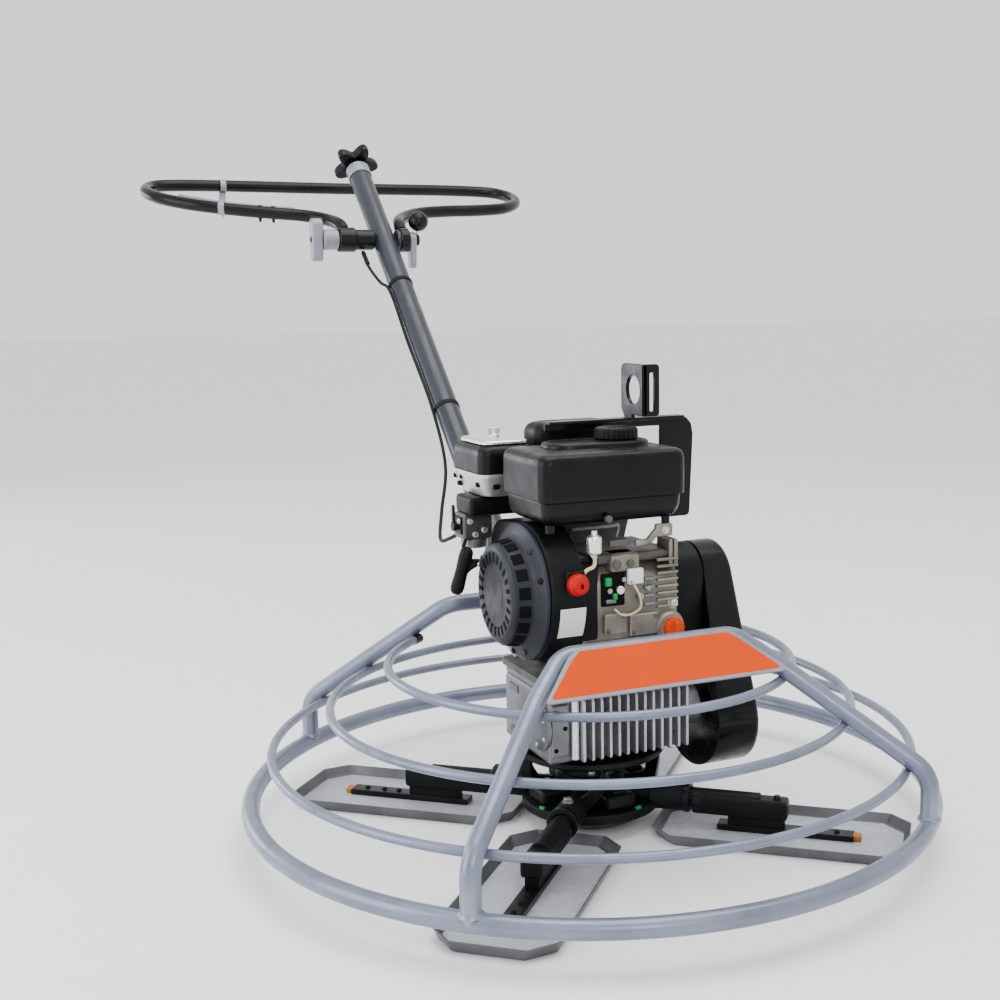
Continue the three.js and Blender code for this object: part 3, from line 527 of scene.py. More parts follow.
# ---- guard ring, rods and arches
RING_R, TUBE, ROD, STRUT_R = 488, 12.7, 6.35, 9

piece = Piece("ring_piece", "chassis", "silver_paint", "guard_ring")
piece.add(sweep(circle(RING_R, 0, 160), TUBE, 24, closed=True), SILVER)


def open_arc(radius, height, first, last, steps):
    return [V((*p, height)) for p in arc((0, 0), radius, first, last, steps)]


for name, radius, height in (("guard_rod_lower", 456.6, 69.8), ("guard_rod_middle", 373.5, 127.5)):
    piece = Piece(name + "_piece", "chassis", "silver_paint", name)
    piece.add(sweep(circle(radius, height, 140), ROD, 18, closed=True), SILVER)

UPPER_R, UPPER_Z, UPPER_FIRST, UPPER_LAST = 289.9, 184.2, 129, 411
piece = Piece("guard_rod_upper_piece", "chassis", "silver_paint", "guard_rod_upper")
piece.add(sweep(open_arc(UPPER_R, UPPER_Z, UPPER_FIRST + 1.5, UPPER_LAST - 1.5, 110), ROD, 18), SILVER)
for angle, step in ((UPPER_FIRST, 2.2), (UPPER_LAST, -2.2)):
    end_cap = open_arc(UPPER_R, UPPER_Z, angle + step * 0.05, angle + step * 1.6, 5)
    piece.add(sweep(end_cap, ROD + 0.9, 18), GLOSS)


def both_sides(corners):
    return corners + [(-x, y, z) for x, y, z in reversed(corners)]


WELD_BEAD = [(TUBE + 3.4, 0), (TUBE + 2.6, 2.2), (TUBE + 0.6, 4.6), (TUBE - 0.5, 5.2)]
front_corners = both_sides([(-325, -364, 0), (-325, -364, 71), (-180, -226, 203.5), (-128, -187.5, 244.5)])
rear_corners = both_sides([(-325, 364, 0), (-325, 364, 71), (-148, 192, 240)])
for name, corners, radii in (("front_arch", front_corners, (45, 80, 40, 40, 80, 45)),
                             ("rear_arch", rear_corners, (45, 40, 40, 45))):
    piece = Piece(name + "_piece", "chassis", "silver_paint", name)
    piece.add(sweep(bent(corners, radii), TUBE, 26), SILVER)
    for foot in (corners[0], corners[-1]):
        piece.add(lathe(WELD_BEAD, V(foot) + Z * 9, V(foot) + Z * 12, 32), SILVER)

piece = Piece("front_plate_piece", "chassis", "orange_paint", "front_plate")
PLATE_FOOT, PLATE_HEAD = V((0, -249, 204)), V((0, -199, 256))
PLATE_BOTTOM, PLATE_TOP = 179, 119
PLATE_UP = (PLATE_HEAD - PLATE_FOOT).normalized()
PLATE_OUT = X.cross(PLATE_UP).normalized()
plate_height = (PLATE_HEAD - PLATE_FOOT).length
plate_frame = shift(PLATE_FOOT) @ Matrix((X, PLATE_UP, PLATE_OUT)).transposed().to_4x4()
for right, depth, z, edge, material in (
        ([(PLATE_BOTTOM, 0), (PLATE_TOP + 9, plate_height - 11), (PLATE_TOP - 7, plate_height)],
         3, -3, 0.8, EDGING),
        ([(PLATE_BOTTOM - 9, 5), (PLATE_TOP + 3, plate_height - 14), (PLATE_TOP - 10, plate_height - 4)],
         0.5, -0.2, 0.15, ORANGE)):
    left = [(-x, y) for x, y in right]
    piece.add(slab(rounded([left[0], *right, left[2], left[1]], 4), depth, plate_frame @ shift((0, 0, z)),
                   edge),
              material)

# ---- gearbox
WORM_Y, WORM_Z = -51, 111
FIN_FIRST, FIN_LAST, FIN_COUNT, FIN_THICK = -55, 107, 13, 4
piece = Piece("gearbox_piece", "chassis", "cast_aluminium", "gearbox_housing")
# the housing is open underneath, where the yoke moves
piece.each(block, CAST, ((-100, -81, 79), (112, 82, 157.6), 7), ((-100, -81, 60.4), (-45, 82, 90), 5),
           ((45, -81, 60.4), (112, 82, 90), 5), ((-50, -81, 60.4), (50, -47, 90), 5))
# a darker cast skin over the front face behind the fins: painted shade in the gaps between the fins
piece.add(block((-62, -82, 63), (111, -78, 156.8), 1.5), DARK_CAST)
fin = rounded([(-100, 64), (-80, 64), (-80, 156), (-96, 156), (-100, 150)], [4, 1, 1, 6, 6])
# the fins are cast with the housing; their lighter metal is a painted highlight
for i in range(FIN_COUNT):
    x = FIN_FIRST + i * (FIN_LAST - FIN_FIRST) / (FIN_COUNT - 1)
    piece.add(slab(fin, FIN_THICK, at_x(x - FIN_THICK / 2), 1.1), FIN_HIGHLIGHT_METAL)
piece.add(lathe(eased([(30, 0), (30, 36), (27, 37)], 2), (104, WORM_Y, WORM_Z), (142, WORM_Y, WORM_Z)), CAST)
# a real vertical boss of the housing, given the bright machined finish: painted highlight down its side
piece.add(rod((-64, -87, 66), (-64, -87, 154), 5.5, 20, 2), MACHINED)
piece.add(block((-98, -85, 72), (-72, -80, 146), 4), CAST)
# three dark discs on the flange for its holes: painted shade
for x, z in ((-92, 82), (-78, 112), (-92, 136)):
    piece.add(rod((x, -84.5, z), (x, -85.4, z), 3.4, 16, 0.2), PAINTED_HOLE_SHADE)
piece.add(lathe(eased([(36, 0), (36, 4), (31, 6), (20, 7.6), (4, 8)], 1), (-99.5, WORM_Y, WORM_Z),
                (-108, WORM_Y, WORM_Z)), CAST)
for y, z in around((WORM_Y, WORM_Z), 27, 6, 30):
    piece.bolt((-103.2, y, z), -X, 3.6, 3)
for x in (-84, 96):
    for y in (-66, 66):
        piece.add(rod((x, y, 74), (x, y, 154), 11, 20, 3), CAST)
for z in (76, 141):
    piece.add(block((-99.5, 30, z - 5), (-101.5, 60, z + 5), 0.8), DARK_CAST)

piece = Piece("gearbox_cover_piece", "chassis", "cast_aluminium", "gearbox_cover")
low, high = node_box("gearbox_cover")
piece.add(flat_plate(low, high, 10, 1.6), CAST)
for x in (low.x + 9, 0, high.x - 9):
    for y in (low.y + 9, high.y - 9):
        piece.add(rod((x, y, low.z - 1), (x, y, high.z - 0.6), 7.5, 18, 1), CAST)

piece = Piece("engine_plate_piece", "chassis", "black_paint", "engine_plate")
piece.add(flat_plate((-104, -106, 168), (118, 88, 178), 12, 1.4), DARK_CAST)
for x in (-78, 78):
    piece.each(rod, SILVER, ((x, -99, 175), (x, -231, 209.1), STRUT_R),
               ((x, 73, 175), (x, 190, 236.8), STRUT_R))

# ---- belt guard
CRANK_Y, CRANK_Z = CRANK = (-25, 298)
GUARD_FOOT = (-30, 97)
GUARD_TOP_R, GUARD_FOOT_R = 49, 86
GUARD_IN, GUARD_TOP_X, GUARD_LEAN = 150, 229, 0.1
EDGE_STEPS = [(9.0, 0.0), (6.0, 0.5), (3.6, 1.8), (1.8, 3.6), (0.5, 6.0), (0.0, 9.0), (0.0, 13.0)]
piece = Piece("belt_guard_piece", "chassis", "black_paint", "belt_guard")


def guard_section(x_at, shrink):
    """The guard's outline, brought in, with its distance from the middle plane found for each height."""
    outline = belt_outline(CRANK, GUARD_TOP_R - shrink, GUARD_FOOT, GUARD_FOOT_R - shrink, 24)
    return [V((x_at(z), y, z)) for y, z in outline]


def outer_face(back):
    return lambda z: GUARD_TOP_X - GUARD_LEAN * z - back


sections = [guard_section(lambda z: GUARD_IN, 1.2), guard_section(lambda z: GUARD_IN + 1.2, 0)]
piece.add(loft(sections + [guard_section(outer_face(depth), shrink) for depth, shrink in EDGE_STEPS]), GLOSS)
for (y, z), r in ((CRANK, 24), (GUARD_FOOT, 40)):
    at = V((outer_face(1.6)(z), y, z))
    piece.add(lathe([(r, 0), (r, 1.0), (r - 2.5, 1.55), (r - 6, 1.55), (r - 8, 1.1), (4, 1.1)],
                    at, at + V((1, 0, GUARD_LEAN)).normalized(), 48), SATIN)

# ---- engine
CASE_X = (-54, 94)
piece = Piece("crankcase_piece", "chassis", "cast_aluminium", "crankcase")
case = [(-94, 178.5), (61, 178.5), (61, 196), (47.5, 206), (47.5, 322), (30, 345.6), (-64, 345.6), (-94, 318)]
piece.add(slab(rounded(case, [8, 4, 4, 8, 12, 12, 16, 20]), CASE_X[1] - CASE_X[0], at_x(CASE_X[0]), 3),
          WARM_CAST)
piece.add(slab(belt_outline(CRANK, 48.7, (-22, 222), 41.8, 20), 56.2, at_x(93), 3), SATIN)
# the side cover with its flange and bolts
piece.each(block, WARM_CAST, ((-50, -99, 186), (88, -92, 232), 4), ((-23, -100.5, 241), (11, -93, 270), 4),
           ((16, -100.5, 235), (60, -93, 266), 5))
for x, z in ((-18, 246), (6, 265), (21, 240), (55, 261)):
    piece.add(rod((x, -100, z), (x, -102, z), 3, 14, 0.4), DARK_CAST)
for x in range(-44, 83, 21):
    piece.add(block((x - 2.2, -101, 184), (x + 2.2, -92, 228), 1.4), WARM_CAST)
for x in (-46, 84):
    piece.bolt((x, -99, 194), -Y, 5, 4)
piece.bolt((86, -94, 275), -Y, 6, 5)
piece.each(block, WARM_CAST, ((79, -98, 330), (85, -60, 366), 2), ((87, -98, 330), (93, -60, 366), 2),
           ((-12, -98, 326), (34, -60, 352), 6), ((56, -104, 372), (82, -94, 390), 3),
           *(((60, -99.5, 270 + i * 9.5), (93, -92, 274.2 + i * 9.5), 1.6) for i in range(8)))
piece.each(rod, DARK_CAST, ((-4, -99, 338), (-4, -103, 338), 7, 20, 1),
           ((18, -98, 338), (18, -102, 338), 5, 20, 1))
piece.add(block((12, -104, 309), (36, -96, 331), 2.5), LABEL)
piece.each(block, GREEN, ((-22, -102, 309), (-12, -94, 321), 2), ((-10, -101, 289), (-3, -94, 298), 1.5))
piece.add(lathe(eased([(22, 0), (22, 8), (18, 11), (18, 13.2)]), (79, -93, 243), (79, -106, 243), 36),
          WARM_CAST)
piece.each(block, CAST, ((-20, -99, 284), (-4, -93, 290), 2),
           *(((40, -98.5, 274 + i * 12), (56, -92, 280 + i * 12), 2.2) for i in range(4)))
# a near-black block behind the green tags and fittings: painted shade in that recess
piece.add(block((-26, -96.6, 280), (10, -92, 326), 3), PAINTED_HOLE_SHADE)
piece.add(rod((2, -94, 302), (2, -101, 302), 6, 20, 1), MACHINED)
piece.add(rod((16, -103.6, 313), (16, -105.4, 313), 2.2, 12, 0.4), STEEL)
for x, z, r in ((-14, 302, 4), (34, 290, 5), (46, 300, 3.6), (8, 316, 3.6)):
    piece.add(rod((x, -94, z), (x, -100, z), r, 16), STEEL)
# fuel filter, hose and the governor wire
piece.add(lathe(eased([(4, 0), (4, 4), (10.5, 7), (10.5, 27), (8.5, 31), (4, 32), (4, 38)], 1.6),
                (-39, -102, 351), (-39, -102, 384), 28), MACHINED)
for route, radius, sides in (
        ([(-47, -103, 361), (-40, -105, 350), (-43, -108, 341), (-56, -112, 337), (-64, -115, 330)], 2.6, 12),
        ([(20, -105, 309), (28, -106, 292), (30, -104, 276), (18, -103, 268), (2, -103, 268),
          (-9, -102, 277)],
         1.6, 10)):
    piece.add(sweep(spline(route), radius, sides), HOSE_TAN)
piece.add(sweep(bent([(24, -100, 366), (44, -100, 366), (58, -99, 380), (70, -99, 382)], (8, 8)), 5, 16),
          WARM_CAST)
piece.bolt((70, -103.6, 381), -Y, 4, 3)
# the shelf and the cast block between the case and the tank
piece.each(block, DARK_CAST, ((-16, -104, 364), (12, -96, 373), 2), ((-30, -92, 338), (88, 30, 352), 5))
for x in (-50, 84):
    for y in (-84, 40):
        piece.add(block((x - 12, y - 8, 178.2), (x + 12, y + 8, 190), 3), WARM_CAST)
        piece.bolt((x, y, 190), Z, 6, 5)

piece = Piece("cylinder_piece", "chassis", "cast_aluminium", "cylinder")
tilted = shift((0, *CRANK)) @ Matrix.Rotation(math.radians(25), 4, "X")
piece.each(block, CAST, ((-8, 88, -37), (76, 158, 37), 8), ((-14, 157, -40), (82, 185.6, 40), 11, 4),
           *(((-20, foot, -46), (88, foot + 3.4, 46), 1.5) for foot in range(94, 155, 10)), turn=tilted)
piece.each(rod, CAST, *(((x, 150, h), (x, 184, h), 7, 18, 2) for x in (-4, 72) for h in (-30, 30)),
           turn=tilted)
piece.add(rod((34, 140, 20), (34, 176, 44), 8, 18, 2), RUBBER, tilted)

piece = Piece("blower_piece", "chassis", "black_plastic", "blower_housing")
BLOWER_R, BLOWER_X = 97, (-112, -60)


def hull(points):
    """The outline of the points' convex hull."""
    points = sorted(set((round(a, 4), round(b, 4)) for a, b in points))

    def half(points):
        chain = []
        for p in points:
            while len(chain) > 1 and ((chain[-1][0] - chain[-2][0]) * (p[1] - chain[-2][1])
                                      - (chain[-1][1] - chain[-2][1]) * (p[0] - chain[-2][0])) <= 0:
                chain.pop()
            chain.append(p)
        return chain[:-1]

    return half(points) + half(points[::-1])


def scaled(outline, shrink):
    """An outline brought in by a distance along its corner normals."""
    result = []
    for i, point in enumerate(outline):
        along = (V(outline[(i + 1) % len(outline)]) - V(outline[i - 1])).normalized()
        result.append((point[0] - along.y * shrink, point[1] + along.x * shrink))
    return result


drum_and_duct = hull(arc(CRANK, BLOWER_R, 0, 352, 70) + arc((54, 344), 44, 0, 352, 30))
steps = [(0.0, 5.0), (1.0, 2.4), (2.6, 0.8), (6.0, 0.0)]
rows = [(BLOWER_X[0] + dx, shrink) for dx, shrink in steps]
rows += [(BLOWER_X[1] - dx, shrink) for dx, shrink in reversed(steps)]
piece.add(loft([[V((x, y, z)) for y, z in scaled(drum_and_duct, shrink)] for x, shrink in rows]), SATIN)
piece.add(block((-90, -122, 304), (-61, -108, 340), 4), SATIN)
# dark discs for the drum's holes: painted shade
for y, z in around(CRANK, 88, 12, 15):
    piece.add(rod((-112.6, y, z), (-111, y, z), 3.0, 14, 0.4), PAINTED_HOLE_SHADE)
# the shroud that leads air round to the cylinder
piece.add(block((-62, -96, 232), (-28, -60, 345), 8), SATIN)
# the plain label, wrapped round the front of the drum
label = [[V((x, CRANK_Y - (BLOWER_R + lift) * math.cos(a), CRANK_Z + (BLOWER_R + lift) * math.sin(a)))
          for x, lift in ((-99, 0.2), (-99, 0.7), (-61.5, 0.7), (-61.5, 0.2))]
         for a in [math.radians(-31 + 26 * i / 14) for i in range(15)]]
piece.add(loft(label), LABEL)

piece = Piece("recoil_cover_piece", "chassis", "grey_paint", "recoil_cover")
START_X, SPAN = -112.4, 43
COVER_PROFILE = [(91, 0), (95.2, 0.3), (96, 1.2), (96, 5), (94, 7), (84, 11), (77, 15), (74, 18), (70.4, 36),
                 (68, 40), (63, 42.4), (60, 43), (48, 43), (46, 42), (30, 42), (28, 43), (4, 43)]
piece.add(lathe(COVER_PROFILE, (START_X, *CRANK), (START_X - 10, *CRANK), 72), SLATE)


def quarter(axis):
    return Matrix.Rotation(math.pi / 2, 4, axis)


def round_crank(x, turns, radius):
    """A place at a distance from the crank's axis, turned round it by a share of a full turn."""
    return shift((x, *CRANK)) @ Matrix.Rotation(2 * math.pi * turns, 4, "X") @ shift((0, 0, radius))


# near-black sheets for the cover's slots and vents: painted shade in place of openings
for i in range(24):
    slot = block((-3.2, -6.6, -0.6), (3.2, 6.6, 0.6), 2.24)
    piece.add(slot, PAINTED_HOLE_SHADE, round_crank(START_X - SPAN + 0.2, i / 24, 52) @ quarter("Y") @ quarter("Z"))
for i in range(18):
    lean = Matrix.Rotation(math.radians(-11.3), 4, "Y")
    piece.add(block((-8, -8.2, -0.9), (8, 8.2, 0.9), 2.2), PAINTED_HOLE_SHADE,
              round_crank(START_X - 27, i / 18, 72.4) @ lean)
for angle in (0.15, 2.25, 4.35):
    boss = (CRANK_Y + 84 * math.cos(angle), CRANK_Z + 84 * math.sin(angle))
    piece.add(rod((START_X - 9, *boss), (START_X - 14, *boss), 4, 16), SLATE)
for place in around(CRANK, 88, 3, 40):
    piece.bolt((START_X - 8, *place), -X, 4, 3, SATIN)
piece.add(rod((-138, 21, 332), (-156, 27, 336), 8.8), SLATE)

# ---- starter grip
ROPE_END = V((-157, 27.6, 336.6))
GRIP = ROPE_END + V((-20, 8, -12))
piece = Piece("recoil_grip_piece", "starter_grip", "black_rubber", "recoil_grip")
top, foot = GRIP + V((2, -12, 31)), GRIP + V((-8, 12, -35))
length = (foot - top).length
GRIP_PROFILE = [(6.5, 0), (9, 3), (10, 10), (9, length / 2), (10, length - 10), (9, length - 3),
                (6.5, length)]
piece.add(lathe(eased(GRIP_PROFILE, 1), top, foot, 28), SATIN)
piece.add(lathe(eased([(9, 0), (6.4, 8), (6, 20)], 1), GRIP, ROPE_END + V((-12, 4, -7)), 24), SATIN)
piece = Piece("starter_rope", "starter_grip", "black_rubber")
piece.add(rod(ROPE_END + V((-1, 0.3, -0.5)), GRIP, 2.4, 12, 0.3), RUBBER)

# ---- tank
piece = Piece("fuel_tank_piece", "chassis", "black_plastic", "fuel_tank")
TANK_STEPS = [(397.2, 22), (398.6, 17), (402, 12), (408, 8), (416, 5.6), (428, 4.6), (429.4, 5.2),
              (430.2, 5.4),
              (431.0, 2.4), (431.4, 0.6), (433.4, 0.1), (440, 0), (478, 0), (484, 0.5), (488.6, 2.2), (491.6,
                                                                                                       4.8),
              (493.6, 8.6), (494.6, 14), (494.9, 24)]
DOME_STEPS = [(493, 0), (498, 0.6), (500.4, 2.5), (501.4, 6), (501.8, 16)]
piece.add(moulding((-118, 103), (-110, 40), TANK_STEPS, 17, 0.3), MOULDED)
piece.add(moulding((-72, 86), (-50, 26), DOME_STEPS, 34, 1), MOULDED)
piece.add(lathe(eased([(24, 0), (24, 8)], 1), (42, -8, 494), (42, -8, 502)), MOULDED)
for x in (-100, 76):
    piece.add(rod((x, -92, 388), (x, -92, 400), 6, 16), SATIN)
piece.add(rod((-20, -104, 404), (-20, -112, 404), 5, 16), DARK_CAST)

piece = Piece("tank_cap_piece", "tank_cap", "black_plastic", "tank_cap")
CAP_STEPS = [(502.4, 29.6, 0), (503.6, 31, 0.6), (514.2, 31, 0.6), (516.8, 29.8, 0.3), (518.2, 27, 0),
             (518.8, 21, 0), (517.6, 19, 0), (517.6, 4, 0)]
piece.add(loft([[V((*p, z)) for p in ribbed((42, -8), r, rib, 112)] for z, r, rib in CAP_STEPS]), SATIN)
piece.add(block((20, -11, 516.6), (64, -5, 519), 1.6), SATIN)

# ---- air cleaner, carburettor, choke and muffler
CLEANER = (-138, -48), (62, 186)
piece = Piece("air_cleaner_base_piece", "chassis", "zinc_plate", "air_cleaner_base")
piece.add(moulding(*CLEANER, [(418.2, 12), (420, 10), (432, 5), (446, 0.6), (448, 0), (451.8, 0)], 14), ZINC)
# dark patches for the cleaner's slots: painted shade inside them
for y, z in ((176, 440), (160, 430), (150, 441), (84, 436)):
    piece.add(block((-137.4, y - 6, z - 3.4), (-128, y + 4, z + 3.4), 1.6), PAINTED_HOLE_SHADE)
for x in (-118, -70):
    piece.add(block((x, 61.8, 430), (x + 10, 70, 437), 1.6), PAINTED_HOLE_SHADE)
piece = Piece("air_cleaner_cover_piece", "chassis", "black_plastic", "air_cleaner_cover")
COVER_STEPS = [(452.4, 1.2), (453.6, 0), (478, 0.4), (484, 1.6), (488, 4), (491, 7.5), (493.6, 13), (495, 20)]
piece.add(moulding(*CLEANER, COVER_STEPS, 16), MOULDED)
piece = Piece("air_cleaner_lid", "chassis", "zinc_plate")
piece.add(moulding(*CLEANER, [(494, 9), (497, 9), (498.6, 10.4), (499.6, 14), (499.9, 22)], 16), MACHINED)
middle = V((-93, 124, 499))
piece.add(lathe(eased([(9, 0), (9, 4), (5, 6), (4, 12), (2, 13)], 1), middle, middle + Z, 28), ZINC)
piece.add(block((-103, 121.6, 504), (-83, 126.4, 514), 2), ZINC)

piece = Piece("carburetor_piece", "chassis", "cast_aluminium", "carburetor")
piece.add(block((-150, 106, 352), (-104, 147, 391), 5), DARK_CAST)
piece.add(lathe(eased([(17, 0), (20, 3), (20, 14), (14, 16)], 1), (-126, 126, 354), (-126, 126, 337), 32),
          CAST)
piece.each(block, SATIN, ((-146, 86, 389), (-62, 150, 417), 6), ((-153, 110, 360), (-148, 142, 386), 2))
for y, z in ((114, 380), (138, 366)):
    piece.bolt((-153, y, z), -X, 3.4, 2.4)
for x, z in ((-140, 380), (-118, 366), (-132, 360)):
    piece.add(rod((x, 107, z), (x, 102, z), 4.4, 16), MACHINED)
piece.add(sweep(spline([(-146, 110, 352), (-152, 104, 338), (-146, 98, 326), (-128, 96, 322)]), 2.6, 12),
          RUBBER)

piece = Piece("choke_piece", "choke", "black_plastic", "choke_lever")
piece.add(lathe(eased([(7, 0), (7, 7)], 0.8), (-154.5, 122, 372), (-161.4, 122, 372), 24), SATIN)
choke_arm = rounded([(118.4, 370), (125.6, 370), (126, 403.6), (118, 403.6)], [3, 3, 3.5, 3.5])
piece.add(slab(choke_arm, 3.6, at_x(-161.2), 0.9), SATIN)

piece = Piece("muffler_piece", "chassis", "black_paint", "muffler")
MUFFLER_STEPS = [(440.4, 8), (442, 4), (446, 1), (450, 0), (504, 0), (510, 1.4), (515, 5), (518, 10),
                 (519.6, 18)]
piece.add(moulding((-40, 92), (78, 150), MUFFLER_STEPS, 20, 0.3), SATIN)
# dark strips for the louvres and, below, dark discs for the holes at the back: painted shade
piece.each(block, PAINTED_HOLE_SHADE, *(((-26 + i * 7, 77.4, 500), (-22.6 + i * 7, 79.4, 512), 0.8) for i in range(16)))
piece.add(block((-10, 84, 414.4), (16, 112, 442), 2.5), DARK_CAST)
for x in range(-24, 73, 16):
    piece.each(rod, PAINTED_HOLE_SHADE, *(((x, 149.9, z), (x, 148, z), 3, 12, 0.4) for z in (462, 476, 490)))

piece = Piece("switch_piece", "switch", "red_plastic", "ignition_switch")
SWITCH_X, SWITCH_Z = -75, 322
piece.add(lathe(eased([(15, 0), (15, 7), (13, 10.6), (11, 11.4), (11, 16), (9, 17), (3, 17.2)], 1),
                (SWITCH_X, -122.7, SWITCH_Z), (SWITCH_X, -140, SWITCH_Z), 44), RED)
piece.add(block((SWITCH_X - 2.2, -139.9, SWITCH_Z - 9), (SWITCH_X + 2.2, -138.6, SWITCH_Z + 9), 0.8), RED)

piece = Piece("oil_cap_piece", "oil_cap", "orange_plastic", "oil_filler_cap")
oil_low, oil_high = node_box("oil_filler_cap")
OIL_X = (oil_low.x + oil_high.x) / 2
OIL_STEPS = [(0, 13.6, 0), (0.8, 14.4, 0.5), (10.6, 14.4, 0.5), (11.8, 13, 0)]
piece.add(loft([[V((x, -104.4 - depth, z)) for x, z in ribbed((OIL_X, 243), r, rib, 72)]
                for depth, r, rib in OIL_STEPS]), CAP_ORANGE)
piece.add(block((OIL_X - 3.6, -123.8, 232.2), (OIL_X + 3.6, -114, 253.8), 2), CAP_ORANGE)

# ---- lifting bracket
piece = Piece("lifting_bracket_piece", "chassis", "black_paint", "lifting_bracket")
leg = [(142, 372), (192, 372), (198, 496), (195, 512), (187, 521), (175, 526), (-45, 526), (-45, 511),
       (142, 511)]
piece.add(slab(rounded(leg, [3, 8, 14, 8, 8, 10, 3, 3, 1.5]), 6, facing_front(50), 1.2), GLOSS)
piece.add(flat_plate((-45, 28, 521), (175, 50, 526), 2, 1.2), GLOSS)
eye = [(-10, 530), (28, 530), (28, 523), (50, 523), (62, 540), (62, 605), (-10, 605)]
piece.add(slab(rounded(eye, [2, 3, 2, 4, 10, 12, 2], 6), 6, at_x(86), 1.2,
               [arc((24, 567), 21, 0, 352.5, 47)]),
          GLOSS)
cheek = rounded([(86, 530), (112, 530), (112, 605), (86, 605)], [1.5, 6, 6, 1.5], 4)
cheek_slot = rounded([(96.3, 537), (103.7, 537), (103.7, 593), (96.3, 593)], 3.4)
piece.add(slab(cheek, 6, facing_front(-4), 1.2, [cheek_slot]), GLOSS)
for z in (388, 420):
    piece.bolt((156, 44, z), -Y, 6, 5)

# ---- handle
FOOT, TIP = V((0, 123, 88)), V((0, 1115, 982))
UP = (TIP - FOOT).normalized()
TUBE_R, TUBE_BORE = 22.25, 18.5


def on_handle(s):
    return FOOT + UP * s


def along_handle(first, last, radius, bore, sides, edge):
    return sleeve(on_handle(first), on_handle(last), radius, bore, sides, edge)


piece = Piece("handle_base_piece", "chassis", "cast_aluminium", "handle_base")
piece.each(block, CAST, ((-60, 82.4, 60.4), (-41.5, 150, 149.6), 6),
           ((41.5, 82.4, 60.4), (60, 150, 149.6), 6),
           ((-58, 82.4, 100), (58, 92, 149.6), 4), ((-59, 92, 112), (-20, 158, 149.6), 8),
           ((20, 92, 112), (59, 158, 149.6), 8))
piece.add(along_handle(21, 91.6, 31.8, TUBE_R + 0.35, 44, 2), CAST)
for side in (-1, 1):
    piece.bolt((side * 50, 152, 140), Z + Y, 6, 5)
    piece.add(rod((side * 20, 128, 106), (side * 31, 128, 106), 8, 18), CAST)

piece = Piece("handle_tube_piece", "chassis", "grey_paint", "handle_tube")
piece.add(along_handle(0.2, 1317.8, TUBE_R, TUBE_BORE, 56, 0.8), GREY)
piece = Piece("handle_collar", "chassis", "zinc_plate")
piece.add(along_handle(1288, 1316, TUBE_R + 2.2, TUBE_R + 0.05, 48, 1.2), EDGING)
piece = Piece("cable_clips", "chassis", "black_rubber")
for s in (618, 950):
    piece.add(along_handle(s, s + 9, TUBE_R + 1.6, TUBE_R + 0.05, 48, 0.6), RUBBER)

piece = Piece("pitch_knob_piece", "knob", "black_plastic", "pitch_knob")
knob_frame = line_frame(on_handle(1318), on_handle(1400))
KNOB_STEPS = [(8, 6), (8.5, 3.4), (10, 1.4), (12.5, 0.3), (15, 0), (23, 0), (26, 0.5), (28.2, 1.8), (29.6, 4),
              (30, 7)]


def star(shrink, height):
    angles = [2 * math.pi * i / 120 for i in range(120)]
    reach = [38 + 10 * math.cos(5 * a) - shrink for a in angles]
    return [knob_frame @ V((r * math.cos(a), r * math.sin(a), height)) for r, a in zip(reach, angles)]


piece.add(loft([star(shrink, h) for h, shrink in KNOB_STEPS]), GLOSS)
piece.add(lathe(eased([(16, 0.4), (17, 1), (17, 10)], 0.6), on_handle(1318), on_handle(1330), 36), SATIN)

CROSS = V((0, 930, 819))
CROSS_R = 20


def on_cross(x):
    return V((x, CROSS.y, CROSS.z))


piece = Piece("cross_sleeve_piece", "chassis", "grey_paint", "cross_sleeve")
for first, last, radius, sides, edge, material in (
        (-61, -23.6, CROSS_R, 44, 1.6, GLOSS), (-126, -95.4, CROSS_R, 44, 1.6, EDGING),
        (-97, -59, CROSS_R - 0.6, 36, 0.4, SATIN), (23.6, 50, CROSS_R, 44, 1.6, GREY)):
    piece.add(rod(on_cross(first), on_cross(last), radius, sides, edge), material)

LOOP_SLOPE = 0.289
LOOP_NORMAL = V((0, -LOOP_SLOPE, 1)).normalized()


def loop_point(x, y):
    return V((x, y, 840 + (y - CROSS.y) * LOOP_SLOPE))


loop_points = [V((-78, 944, 836)), V((-80, 962, 849))]
loop_points += [loop_point(x, y) for x, y in (
    (-94, 1004), (-134, 1038), (-202, 1060), (-280, 1090), (-352, 1132), (-398, 1184), (-410, 1240), (-388,
                                                                                                      1284),
    (-330, 1300), (0, 1300), (322, 1300), (378, 1284), (400, 1240), (388, 1184), (338, 1130), (266, 1106),
    (190, 1094), (116, 1068), (60, 1010))]
loop_points += [V((43, 962, 849)), V((40, 944, 836))]
piece = Piece("handlebar_piece", "handlebar", "black_paint", "handlebar")
piece.add(sweep(spline(loop_points, 9), 12.3, 24), GLOSS)
for a, b in ((-95, -61), (30, 48)):
    piece.add(sleeve(on_cross(a), on_cross(b), CROSS_R + 4, CROSS_R + 0.5, 48, 1.6), GLOSS)
piece.add(rod(loop_point(-150, 1048), loop_point(-150, 1075), 5.4, 16), GLOSS)
